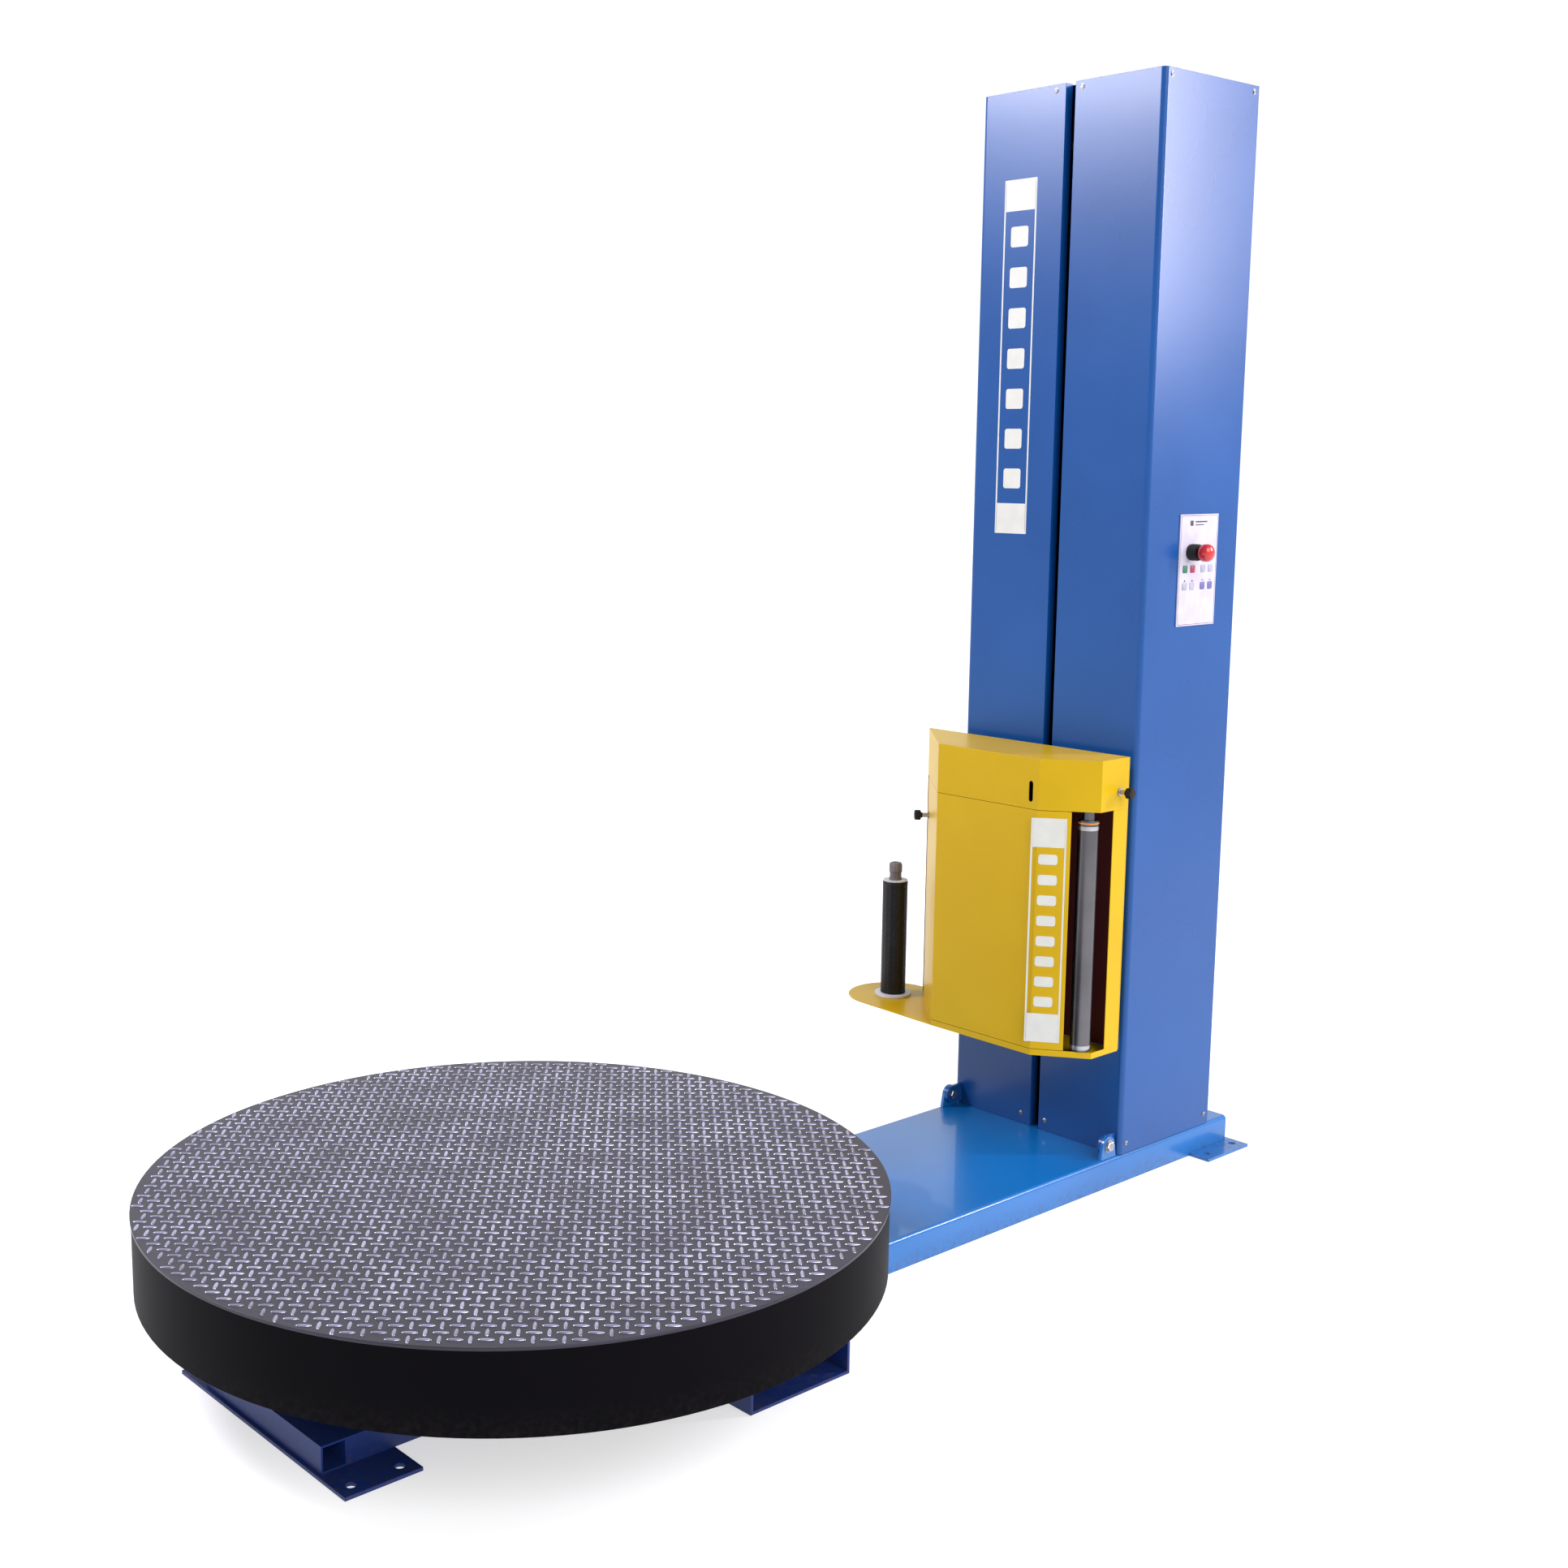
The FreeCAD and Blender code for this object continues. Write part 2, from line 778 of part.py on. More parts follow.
def support_wheel(number, degrees):
    name = f"support_wheel_{number}"
    half = size.wheel_width / 2
    bore = size.wheel_bore + size.running_fit
    hub = size.wheel_hub
    tread = size.wheel_radius - size.wheel_bore
    web = half / 2
    wheel = turned(name, [(bore, -half), (hub, -half), (hub, -web), (tread, -web), (tread, -half),
                          (size.wheel_radius, -half), (size.wheel_radius, half), (tread, half),
                          (tread, web), (hub, web), (hub, half), (bore, half)])
    round_the_table(wheel, degrees, wheel_level, Rotation(Vector(0, 1, 0), 90))
    finish(wheel, name)


def king_pin():
    top = arm_top + size.flange_thick
    pin_top = bearing_top + size.pin_above_bearing
    pin = turned("king_pin", [(0, arm_top), (size.flange_radius, arm_top), (size.flange_radius, top),
                              (size.pin_neck_radius, top), (size.pin_neck_radius, bearing_bottom),
                              (size.pin_radius, bearing_bottom), (size.pin_radius, pin_top), (0, pin_top)])
    place(pin, axis_x)
    finish(pin, "king_pin")


def table_bearing():
    ring = tube("table_bearing", size.bearing_radius - size.running_fit, size.pin_radius, size.bearing_height,
                axis_x, 0, bearing_bottom)
    finish(ring, "table_bearing")


def table_gearmotor():
    half = size.gearbox_width / 2
    x = axis_x - size.drive_distance
    top = motor_bottom + size.gearbox_height
    shaft = size.drive_shaft_radius
    level = motor_bottom + half
    parts = [box("gearbox", (x - half, x + half), (-half, half), (motor_bottom, top)),
             rod("gearbox_boss", shaft * 2, chain_bottom - size.small_gap - top, x, 0, top),
             rod("gearbox_shaft", shaft, hub_bottom + size.shaft_end - top, x, 0, top),
             rod("table_motor", size.motor_radius, size.motor_length, x, half, level, "y"),
             rod("motor_fan_cover", size.motor_radius + size.fan_cover_rim, size.fan_cover_length, x,
                 half + size.motor_length, level, "y")]
    finish(fuse("table_gearmotor", *parts), "table_gearmotor")


def table_drive():
    ring = sprocket("ring_sprocket", size.ring_teeth, size.bearing_radius + size.sprocket_bore_margin)
    place(ring, axis_x, 0, chain_bottom)
    finish(ring, "ring_sprocket")
    driver = sprocket("drive_sprocket", size.drive_teeth, size.drive_shaft_radius + size.running_fit)
    place(driver, axis_x - size.drive_distance, 0, chain_bottom)
    finish(driver, "drive_sprocket")
    loop = chain("drive_chain", size.ring_teeth, size.drive_teeth, size.drive_distance)
    place(loop, axis_x, 0, chain_bottom, about_z(180))
    finish(loop, "drive_chain")


def table_plate():
    plate = rod("table_plate", size.table_radius, size.table_plate_thick, axis_x, 0, plate_bottom)
    finish(plate, "table_plate")


def table_skirt():
    outer = size.table_radius - size.skirt_inset
    skirt = tube("table_skirt", outer, outer - size.skirt_thick, size.skirt_depth, axis_x, 0,
                 plate_bottom - size.skirt_depth)
    finish(skirt, "table_skirt")


def table_ribs():
    # The hub, the radial ribs and the ring that the wheels carry, welded into one frame.
    seat = size.bearing_radius
    seat_top = bearing_top + size.hub_above_bearing
    body = turned("table_ribs", [(seat, hub_bottom), (size.hub_radius, hub_bottom),
                                 (size.hub_radius, plate_bottom), (size.pin_neck_radius, plate_bottom),
                                 (size.pin_neck_radius, seat_top), (seat, seat_top)])
    sketch = new_sketch(body, "rib_outline")
    bind(sketch, "AttachmentOffset.Base.z", rib_bottom)
    end = size.table_radius - size.skirt_inset - size.skirt_thick - size.small_gap
    start = size.hub_radius - size.rib_into_hub
    draw(sketch, rectangle((start, end), (-size.rib_thick / 2, size.rib_thick / 2)))
    rib = body.newObject("PartDesign::Pad", "rib_pad")
    rib.Profile = sketch
    bind(rib, "Length", size.rib_height)
    repeat_round(body, rib, size.rib_count)
    inner = size.track_radius - size.track_width / 2
    outer = size.track_radius + size.track_width / 2
    track = new_sketch(body, "track_profile", "XZ_Plane")
    draw(track, rectangle((inner, outer), (track_bottom, rib_bottom)))
    turning = body.newObject("PartDesign::Revolution", "track_turning")
    turning.Profile = track
    turning.ReferenceAxis = (track, ["V_Axis"])
    turning.Angle = 360
    place(body, axis_x)
    finish(body, "table_ribs")


def hinge_lug(name, points, bolt_hole, y, thick):
    # A plate with a rounded end about the fold axis, its +Z side turned to -Y.
    plate = fuse(name, prism(name + "_plate", points, thick),
                 rod(name + "_end", size.lug_radius, thick, 0, 0, 0))
    drilled = cut(name, plate, rod(name + "_hole", bolt_hole, thick, 0, 0, 0))
    place(drilled, pivot_x, y, pivot_z, facing["-y"])
    return drilled


def hinge():
    # The lugs stand where both the base and the mast reach.
    outer = least(mast_half, size.base_width / 2) - size.lug_inset
    inner = outer - size.lug_thick - size.small_gap
    foot = size.lug_radius + size.lug_foot_spread
    round_off = size.lug_radius
    standing = [(-foot, -size.lug_height), (foot, -size.lug_height), (round_off, 0), (-round_off, 0)]
    reaching = rectangle((0, size.lug_setback), (-round_off, round_off))
    loose = size.hinge_bolt_radius + size.running_fit
    base_side = [hinge_lug("lug_right", standing, loose, -(outer - size.lug_thick), size.lug_thick),
                 hinge_lug("lug_left", standing, loose, outer, size.lug_thick)]
    finish(group("base_hinge_lugs", *base_side), "base_hinge_lugs")
    mast_side = [hinge_lug("ear_right", reaching, loose, -(inner - size.lug_thick), size.lug_thick),
                 hinge_lug("ear_left", reaching, loose, inner, size.lug_thick)]
    finish(group("mast_hinge_lugs", *mast_side), "mast_hinge_lugs")
    bolts = []
    head = size.bolt_head_radius
    start = inner - size.lug_thick - size.small_gap - size.bolt_nut_thick
    for name, way, side in (("right", "-y", -1), ("left", "y", 1)):
        near = side * start
        far = side * outer
        parts = [rod(f"bolt_{name}", size.hinge_bolt_radius, outer - start, pivot_x, near, pivot_z, way),
                 hexagon(f"bolt_head_{name}", head, size.bolt_head_thick, pivot_x, far, pivot_z, way),
                 hexagon(f"bolt_nut_{name}", head, size.bolt_nut_thick, pivot_x, near, pivot_z, way)]
        bolts.append(fuse(f"bolt_{name}", *parts))
    finish(group("hinge_bolts", *bolts), "hinge_bolts")


def hexagon(name, across, height, x, y, z, way):
    head = doc.addObject("Part::Prism", name)
    head.Polygon = 6
    bind(head, "Circumradius", across)
    bind(head, "Height", height)
    place(head, x, y, z, facing[way])
    return head


def mast_cover(name, side):
    # One folded cover: slot edge, front, side and the flange that the back cover is screwed to.
    wall = size.mast_sheet
    bend = size.mast_bend
    flange = mast_half - size.back_flange
    path = [(lip_end, slot_half), (mast_front, slot_half), (mast_front, mast_half, bend),
            (cover_rear, mast_half, bend / 2), (cover_rear, flange), (cover_rear - wall, flange),
            (cover_rear - wall, mast_half - wall, bend / 2 - wall),
            (mast_front + wall, mast_half - wall, bend - wall),
            (mast_front + wall, slot_half + wall), (lip_end, slot_half + wall)]
    points = [(point[0], side * point[1], *point[2:]) for point in path]
    cover = prism(name, points, size.mast_top - size.base_height)
    place(cover, 0, 0, size.base_height)
    finish(cover, name)


def inside_covers():
    # The outline of a plate that just fits between the two covers.
    front = lip_end + size.small_gap
    rear = cover_rear - size.mast_sheet
    half = mast_half - size.mast_sheet - size.small_gap
    return [(front, -half), (rear, -half, size.mast_bend), (rear, half, size.mast_bend), (front, half)]


def mast_shell():
    mast_cover("mast_cover_left", 1)
    mast_cover("mast_cover_right", -1)
    wall = size.mast_sheet
    edge = size.mast_bend / 2
    back = box("mast_back_cover", (cover_rear, cover_rear + wall), (edge - mast_half, mast_half - edge),
               (size.base_height + wall, size.mast_top - wall))
    finish(back, "mast_back_cover")
    cap = prism("mast_top_cap", inside_covers(), wall)
    place(cap, 0, 0, size.mast_top - wall * 2)
    finish(cap, "mast_top_cap")


def screw_head(name, x, y, z, way):
    return rod(name, size.screw_radius, size.screw_head, x, y, z, way)


def cover_screws():
    # Round screw heads, two across the front, two down each side edge and a row down each back edge.
    levels = (size.base_height + size.screw_foot_rise, size.mast_top - size.screw_top_drop)
    screws = []
    for level, z in enumerate(levels):
        for number, y in enumerate((-size.screw_right_side, size.screw_left_side)):
            screws.append(screw_head(f"front_screw_{level}{number}", mast_front - size.screw_head, y, z, "x"))
        for number, inset in enumerate((size.screw_edge_inset, size.mast_depth - size.screw_edge_inset)):
            x = mast_front + inset
            screws.append(screw_head(f"right_screw_{level}{number}", x, -mast_half, z, "-y"))
            screws.append(screw_head(f"left_screw_{level}{number}", x, mast_half, z, "y"))
    rows = int(size.back_screw_rows.value)
    pitch = (size.mast_top - size.base_height - size.back_screw_inset * 2) / (rows - 1)
    across = mast_half - size.back_flange / 2
    for row in range(rows):
        z = size.base_height + size.back_screw_inset + row * pitch
        for side, y in (("right", -across), ("left", across)):
            screws.append(screw_head(f"back_screw_{side}{row}", cover_rear + size.mast_sheet, y, z, "x"))
    finish(group("cover_screws", *screws), "cover_screws")


def mast_column():
    wall = size.column_sheet
    inside = column_inside
    column_top = size.mast_top - size.column_top_drop
    section = prism("column_section", [
        (column_front, -column_half), (column_rear, -column_half), (column_rear, column_half),
        (column_front, column_half), (column_front, inside), (column_rear - wall, inside),
        (column_rear - wall, -inside), (column_front, -inside)], column_top - foot_top)
    place(section, 0, 0, foot_top)
    foot = prism("column_foot", inside_covers(), size.mast_foot_thick)
    place(foot, 0, 0, size.base_height)
    shaft = size.drive_shaft_radius
    axle = rod("lift_axle", shaft, inside * 2, lift_x, -inside, size.lift_foot_height, "y")
    window = rod("shaft_window", shaft * 1.5, wall, lift_x, inside, lift_top, "y")
    finish(cut("mast_column", fuse("column", section, foot, axle), window), "mast_column")


def guide_rails():
    bars = []
    for name, y in (("left", (column_inside - size.rail_bar_thick, column_inside)),
                    ("right", (-column_inside, size.rail_bar_thick - column_inside))):
        bars.append(box(f"guide_{name}", (rail_front, rail_front + size.rail_bar_depth), y,
                        (foot_top, size.mast_top - size.rail_top_drop)))
    finish(group("guide_rails", *bars), "guide_rails")


def lift_drive():
    half = size.sprocket_thick / 2
    shaft = size.drive_shaft_radius
    for name, z in (("lift_sprocket_top", lift_top), ("lift_sprocket_foot", size.lift_foot_height)):
        wheel = sprocket(name, size.lift_teeth, shaft + size.running_fit)
        place(wheel, lift_x, half, z, facing["-y"])
        finish(wheel, name)
    loop = chain("lift_chain", size.lift_teeth, size.lift_teeth, lift_top - size.lift_foot_height)
    place(loop, lift_x, half, size.lift_foot_height, facing["loop"])
    finish(loop, "lift_chain")
    wide = size.gearbox_width / 2
    fan_radius = size.motor_radius + size.fan_cover_rim
    motor_y = column_half + fan_radius + size.small_gap
    motor_low = lift_top - wide - size.motor_length
    parts = [box("lift_gearbox", (lift_x - wide, lift_x + wide),
                 (column_half, column_half + size.lift_gearbox_depth), (lift_top - wide, lift_top + wide)),
             rod("lift_shaft", shaft, column_half + half * 2, lift_x, -(half * 2), lift_top, "y"),
             rod("lift_motor", size.motor_radius, size.motor_length, lift_x, motor_y, motor_low),
             rod("lift_fan_cover", fan_radius, size.fan_cover_length, lift_x, motor_y,
                 motor_low - size.fan_cover_length)]
    finish(fuse("lift_gearmotor", *parts), "lift_gearmotor")


def controls():
    left = mast_front + size.panel_setback
    right = left + size.panel_width
    top = size.panel_bottom + size.panel_height
    panel = box("control_panel", (left, right), (-panel_face, -mast_half), (size.panel_bottom, top))
    finish(panel, "control_panel")
    shell = mast_half - size.mast_sheet
    enclosure = hollow_bar("control_box", (left - size.box_margin, right + size.box_margin),
                           (-shell, size.box_depth - shell),
                           (size.panel_bottom - size.box_overreach, top + size.box_overreach),
                           size.mast_sheet, "y")
    finish(enclosure, "control_box")
    emergency_stop(left + size.estop_inset, top - size.estop_drop)
    keypad(left + size.panel_width / 2)


def emergency_stop(x, z):
    # The collar on the panel, and the head whose stem slides in it.
    bore = size.estop_stem + size.small_gap
    collar = tube("estop_collar", size.collar_radius, bore, size.collar_length, x, -panel_face, z, "-y")
    finish(collar, "estop_collar")
    stem_start = size.estop_gap - size.collar_length
    head = turned("estop_head_turned", [
        (0, stem_start), (size.estop_stem, stem_start), (size.estop_stem, 0), (size.estop_radius, 0),
        (size.estop_radius, size.estop_length / 2), (size.estop_crown, size.estop_length),
        (0, size.estop_length)])
    place(head, x, -(panel_face + size.collar_length + size.estop_gap), z, facing["-y"])
    finish(head, "estop_head")


def keypad(middle):
    half = size.key_size / 2
    near = size.key_middle_gap / 2
    far = near + size.key_pitch
    keys = []
    for row in range(2):
        z = size.panel_bottom + size.key_row_rise - row * size.key_row_pitch
        for number, offset in enumerate((-far, -near, near, far)):
            x = middle + offset
            keys.append(box(f"key_{row}{number}", (x - half, x + half),
                            (-panel_face - size.key_thick, -panel_face), (z - half, z + half)))
    finish(group("keypad", *keys), "keypad")


def cable_gland():
    # The supply lead's entry low on the back cover.
    x = cover_rear + size.mast_sheet
    y = -size.gland_side
    z = size.base_height + size.gland_rise
    nut = hexagon("gland_nut", size.gland_nut_radius, size.gland_nut_thick, x, y, z, "x")
    sleeve = rod("gland_sleeve", size.gland_radius, size.gland_length, x, y, z, "x")
    depth = size.gland_length - size.gland_floor
    bore = rod("gland_bore", size.gland_bore, depth, x + size.gland_floor, y, z, "x")
    finish(cut("cable_gland", fuse("gland", nut, sleeve), bore), "cable_gland")


def carriage_outline(inset=0):
    # The carriage's five corners seen from above, moved inwards square to each side.
    at_side = (chamfer_length - chamfer_run) / chamfer_rise
    at_right = (chamfer_length - chamfer_rise) / chamfer_run
    at_left = (left_length - left_rise) / left_run
    return [(shell_rear, inset - size.right_side), (chamfer_start + at_side * inset, inset - size.right_side),
            (carriage_front + inset, at_right * inset - size.front_right),
            (carriage_front + inset, size.front_left - at_left * inset),
            (shell_rear, size.left_rear - left_length / left_run * inset)]


def carriage_wall(name, low, high):
    # Folded sheet that follows the outline and is open at the back.
    inner = carriage_outline(size.carriage_sheet)
    wall = prism(name, carriage_outline() + inner[::-1], high - low)
    return placed(wall, 0, 0, low)


def film_positions():
    # The upright shafts of the film path: (name, x, y).
    return [("infeed", spindle_x, size.infeed_side), ("slow", stretch_x, size.slow_side),
            ("fast", stretch_x, fast_side), ("exit", shell_rear - size.exit_from_rear, -size.exit_side)]


def carriage_floor():
    lobe = size.spindle_lobe
    outline = carriage_outline()[:4] + [
        (spindle_x - lobe, size.spindle_side), (spindle_x + lobe, size.spindle_side),
        (shell_rear, size.left_rear - size.lobe_neck_inset)]
    main = placed(prism("floor_main", outline, size.floor_thick), 0, 0, size.carriage_bottom)
    plate = fuse("floor_plate", main,
                 rod("floor_lobe", lobe, size.floor_thick, spindle_x, size.spindle_side,
                     size.carriage_bottom))
    rim = carriage_wall("floor_rim", floor_top, rim_top)
    holes = [rod(f"floor_hole_{name}", size.roller_shaft + size.running_fit, size.floor_thick, x, y,
                 size.carriage_bottom) for name, x, y in film_positions()]
    finish(cut("carriage_floor", fuse("floor", plate, rim), *holes), "carriage_floor")


def gear_plate():
    block = prism("gear_block", carriage_outline(size.carriage_sheet + size.small_gap), size.gear_plate_thick)
    place(block, 0, 0, hood_bottom)
    holes = [rod(f"gear_hole_{name}", size.roller_shaft + size.running_fit, size.gear_plate_thick, x, y,
                 hood_bottom) for name, x, y in film_positions()]
    finish(cut("gear_plate", block, *holes), "gear_plate")


def carriage_hood():
    block = placed(prism("hood_block", carriage_outline(), size.hood_height), 0, 0, hood_bottom)
    hollow = placed(prism("hood_hollow", carriage_outline(size.carriage_sheet),
                          size.hood_height - size.carriage_sheet), 0, 0, hood_bottom)
    shell = cut("hood_shell", block, hollow)
    half = size.sight_slot_width / 2
    low = hood_bottom + size.sight_slot_rise + half
    high = low + size.sight_slot_height - size.sight_slot_width
    y = -size.sight_slot_side
    depth = size.carriage_sheet * 3
    start = carriage_front - size.carriage_sheet
    slot = fuse("sight_slot",
                box("sight_slot_middle", (start, start + depth), (y - half, y + half), (low, high)),
                rod("sight_slot_foot", half, depth, start, y, low, "x"),
                rod("sight_slot_head", half, depth, start, y, high, "x"))
    hole = rod("knob_hole", size.knob_stem + size.running_fit, size.carriage_sheet * 3, knob_x,
               -(size.right_side - size.carriage_sheet * 2), knob_z, "-y")
    finish(cut("carriage_hood", shell, slot, hole), "carriage_hood")


def carriage_back_plate():
    plate = box("carriage_back_plate", (shell_rear, carriage_rear), (-size.right_side, size.left_rear),
                (floor_top, size.carriage_top))
    finish(plate, "carriage_back_plate")


def carriage_side():
    ring = carriage_wall("side_ring", rim_top, hood_bottom)
    strip = box("side_keep", (shell_rear - size.side_strip, shell_rear),
                (-size.right_side, -size.front_right), (rim_top, hood_bottom))
    kept = doc.addObject("Part::Common", "side_common")
    kept.Base = ring
    kept.Tool = strip
    finish(kept, "carriage_side")


def film_door():
    low = rim_top + size.door_gap
    high = hood_bottom - size.door_gap
    ring = carriage_wall("door_ring", low, high)
    beyond = size.tool_excess
    levels = (low - beyond, high + beyond)
    away = box("door_away", (carriage_front - beyond, shell_rear + beyond),
               (-size.right_side - beyond, -size.door_edge), levels)
    tall = size.knuckle_height
    knuckles = [rod(f"knuckle_{number}", size.knuckle_radius, tall, hinge_x, hinge_y, z)
                for number, z in enumerate((low + tall / 2, high - tall * 1.5))]
    latch = knob_at("latch_hole", size.knob_stem + size.running_fit, size.carriage_sheet * 4,
                    -(size.carriage_sheet * 2))
    entry = box("film_entry", (shell_rear - size.entry_width, shell_rear + beyond),
                (0, size.left_rear + beyond), levels)
    door = fuse("door", cut("door_panel", ring, away, entry), *knuckles)
    bore = rod("door_bore", size.hinge_rod_radius + size.running_fit, high - low, hinge_x, hinge_y, low)
    finish(cut("film_door", door, bore, latch), "film_door")
    pin = rod("door_hinge_rod", size.hinge_rod_radius, hood_bottom - floor_top, hinge_x, hinge_y, floor_top)
    finish(pin, "door_hinge_rod")


def knob_at(name, radius, length, start):
    # A round bar square to the left chamfer, starting a given way out from its face.
    across = left_rise / left_length
    along = left_run / left_length
    bar = doc.addObject("Part::Cylinder", name)
    bind(bar, "Radius", radius)
    bind(bar, "Height", length)
    outward = Vector(-float(across), float(along), 0)
    place(bar, latch_x - across * start, latch_y + along * start, latch_z,
          Rotation(Vector(0, 0, 1), outward))
    return bar


def knobs():
    inside = size.carriage_sheet * 2
    shank = inside + size.knob_shank
    latch = fuse("door_knob", knob_at("latch_stem", size.knob_stem, shank, -inside),
                 knob_at("latch_grip", size.knob_radius, size.knob_length, size.knob_shank))
    finish(latch, "door_knob")
    start = -(size.right_side - inside)
    tension = fuse("tension_knob", rod("tension_stem", size.knob_stem, shank, knob_x, start, knob_z, "-y"),
                   rod("tension_grip", size.knob_radius, size.knob_length, knob_x,
                       -(size.right_side + size.knob_shank), knob_z, "-y"))
    finish(tension, "tension_knob")


def trolley():
    wall = size.trolley_plate
    half = column_inside - size.rail_bar_thick - size.trolley_rail_gap
    low = size.carriage_bottom + size.trolley_rise
    high = low + size.trolley_height
    web = lip_end + size.trolley_setback
    back = lift_x + size.trolley_reach
    thick = size.arm_plate / 2
    chain_reach = tip_radius(size.lift_teeth) + size.chain_gap * 2 + size.chain_roller / 2
    clamp_end = lift_x - chain_reach - size.small_gap
    middle = (low + high) / 2
    parts = [box("trolley_web", (web, web + wall), (-half, half), (low, high)),
             box("trolley_left", (web, back), (half - wall, half), (low, high)),
             box("trolley_right", (web, back), (-half, wall - half), (low, high)),
             box("trolley_arm", (carriage_rear, web), (-thick, thick), (low, high)),
             box("chain_clamp", (web, clamp_end), (-thick, thick), (middle - thick, middle + thick))]
    wheels = []
    axle = size.guide_wheel_axle
    front = rail_front - size.small_gap - size.guide_wheel_radius
    behind = rail_front + size.rail_bar_depth + size.small_gap + size.guide_wheel_radius
    middle_of_rail = column_inside - size.rail_bar_thick / 2
    wheel_start = middle_of_rail - size.guide_wheel_width / 2
    inset = size.guide_wheel_inset
    for end, x, z in (("foot", front, low + inset), ("head", behind, high - inset)):
        for name, way, side in (("left", "y", 1), ("right", "-y", -1)):
            tag = f"{end}_{name}"
            parts.append(rod(f"axle_{tag}", axle, middle_of_rail + size.guide_wheel_width / 2 - half, x,
                             side * half, z, way))
            wheels.append(tube(f"guide_wheel_{tag}", size.guide_wheel_radius, axle + size.running_fit,
                               size.guide_wheel_width, x, side * wheel_start, z, way))
    finish(fuse("trolley", *parts), "trolley")
    finish(group("trolley_wheels", *wheels), "trolley_wheels")


def spindle():
    shaft = size.spindle_shaft_radius
    bore = shaft + size.running_fit
    y = size.spindle_side
    disc_low = floor_top + size.small_gap
    core_low = disc_low + size.flange_disc_thick
    core_high = core_low + size.mandrel_length
    ring_high = core_high + size.flange_disc_thick / 2
    shaft_top = ring_high + size.shaft_in_cap
    finish(rod("spindle_shaft", shaft, shaft_top - floor_top, spindle_x, y, floor_top), "spindle_shaft")
    discs = [tube("disc_foot", size.flange_disc_radius, bore, size.flange_disc_thick, spindle_x, y, disc_low),
             tube("disc_head", size.top_disc_radius, bore, ring_high - core_high, spindle_x, y, core_high)]
    finish(group("spindle_discs", *discs), "spindle_discs")
    inner = size.mandrel_radius - size.groove_depth
    outline = [(bore, 0), (size.mandrel_radius, 0)]
    pitch = size.mandrel_length / (2 * size.groove_count + 1)
    for number in range(int(size.groove_count.value)):
        outline += [(size.mandrel_radius, pitch * (2 * number + 1)), (inner, pitch * (2 * number + 1)),
                    (inner, pitch * (2 * number + 2)), (size.mandrel_radius, pitch * (2 * number + 2))]
    outline += [(size.mandrel_radius, size.mandrel_length), (bore, size.mandrel_length)]
    core = turned("film_mandrel", outline)
    place(core, spindle_x, y, core_low)
    finish(core, "film_mandrel")
    cap = cut("spindle_cap", rod("cap_outside", size.cap_radius, size.cap_length, spindle_x, y, ring_high),
              rod("cap_bore", bore, shaft_top - ring_high + size.tool_excess, spindle_x, y, ring_high))
    finish(cap, "spindle_cap")


def plain_roller(name, radius, x, y, shaft_top):
    # A drum with a collar and a shaft at each end, turned from one bar.
    low = rim_top + size.roller_rise
    high = low + size.roller_length
    collar = size.roller_collar
    roller = turned(name, [
        (0, size.carriage_bottom), (size.roller_shaft, size.carriage_bottom),
        (size.roller_shaft, floor_top + size.small_gap), (collar, floor_top + size.small_gap), (collar, low),
        (radius, low), (radius, high), (collar, high), (collar, hood_bottom - size.small_gap),
        (size.roller_shaft, hood_bottom - size.small_gap), (size.roller_shaft, shaft_top), (0, shaft_top)])
    place(roller, x, y)
    return roller


def stretch_gear(name, teeth, x, y, degrees):
    # A spur gear with straight-sided gaps and free backlash, turned so that its mate's teeth enter them.
    module = size.gear_module
    tip = module * teeth / 2 + module * 0.8
    base = module * teeth / 2 - module * 1.2
    beyond = tip + size.tool_excess
    root_half = module * 0.47
    mouth_half = module * 1.35
    gap = [(base, -root_half), (beyond, -mouth_half), (beyond, mouth_half), (base, root_half)]
    gear = toothed(name, tip, None, gap, size.gear_thick, teeth, size.gear_bore)
    place(gear, x, y, gear_bottom)
    bind(gear, "Placement.Rotation.Angle", degrees)
    return gear


def rollers():
    spots = {name: (x, y) for name, x, y in film_positions()}
    for name in ("infeed", "exit"):
        finish(plain_roller(f"{name}_roller", size.steel_roller_radius, *spots[name], gear_plate_top),
               f"{name}_roller")
    slow = fuse("slow_roller", plain_roller("slow_drum", size.roller_radius, *spots["slow"],
                                            gear_top + size.brake_shaft),
                stretch_gear("slow_gear", size.slow_teeth, *spots["slow"], 180 / size.slow_teeth - 90))
    finish(slow, "slow_roller")
    fast = fuse("fast_roller", plain_roller("fast_drum", size.roller_radius, *spots["fast"], gear_top),
                stretch_gear("fast_gear", size.fast_teeth, *spots["fast"], 90))
    finish(fast, "fast_roller")


def film_brake():
    # The brake on the slow roller's shaft, held by a leg from the back plate.
    low = gear_top + size.brake_gap
    high = low + size.brake_height
    inset = size.brake_leg_inset
    drum = rod("brake_drum", size.roller_radius, size.brake_height, stretch_x, size.slow_side, low)
    leg = box("brake_leg", (stretch_x + size.roller_radius - size.brake_leg_overlap, shell_rear),
              (size.slow_side - size.brake_leg_half, size.slow_side + size.brake_leg_half),
              (low + inset, high - inset))
    bore = rod("brake_bore", size.roller_shaft + size.running_fit, size.brake_shaft + size.shaft_end,
               stretch_x, size.slow_side, low)
    finish(cut("film_brake", fuse("brake_body", drum, leg), bore), "film_brake")


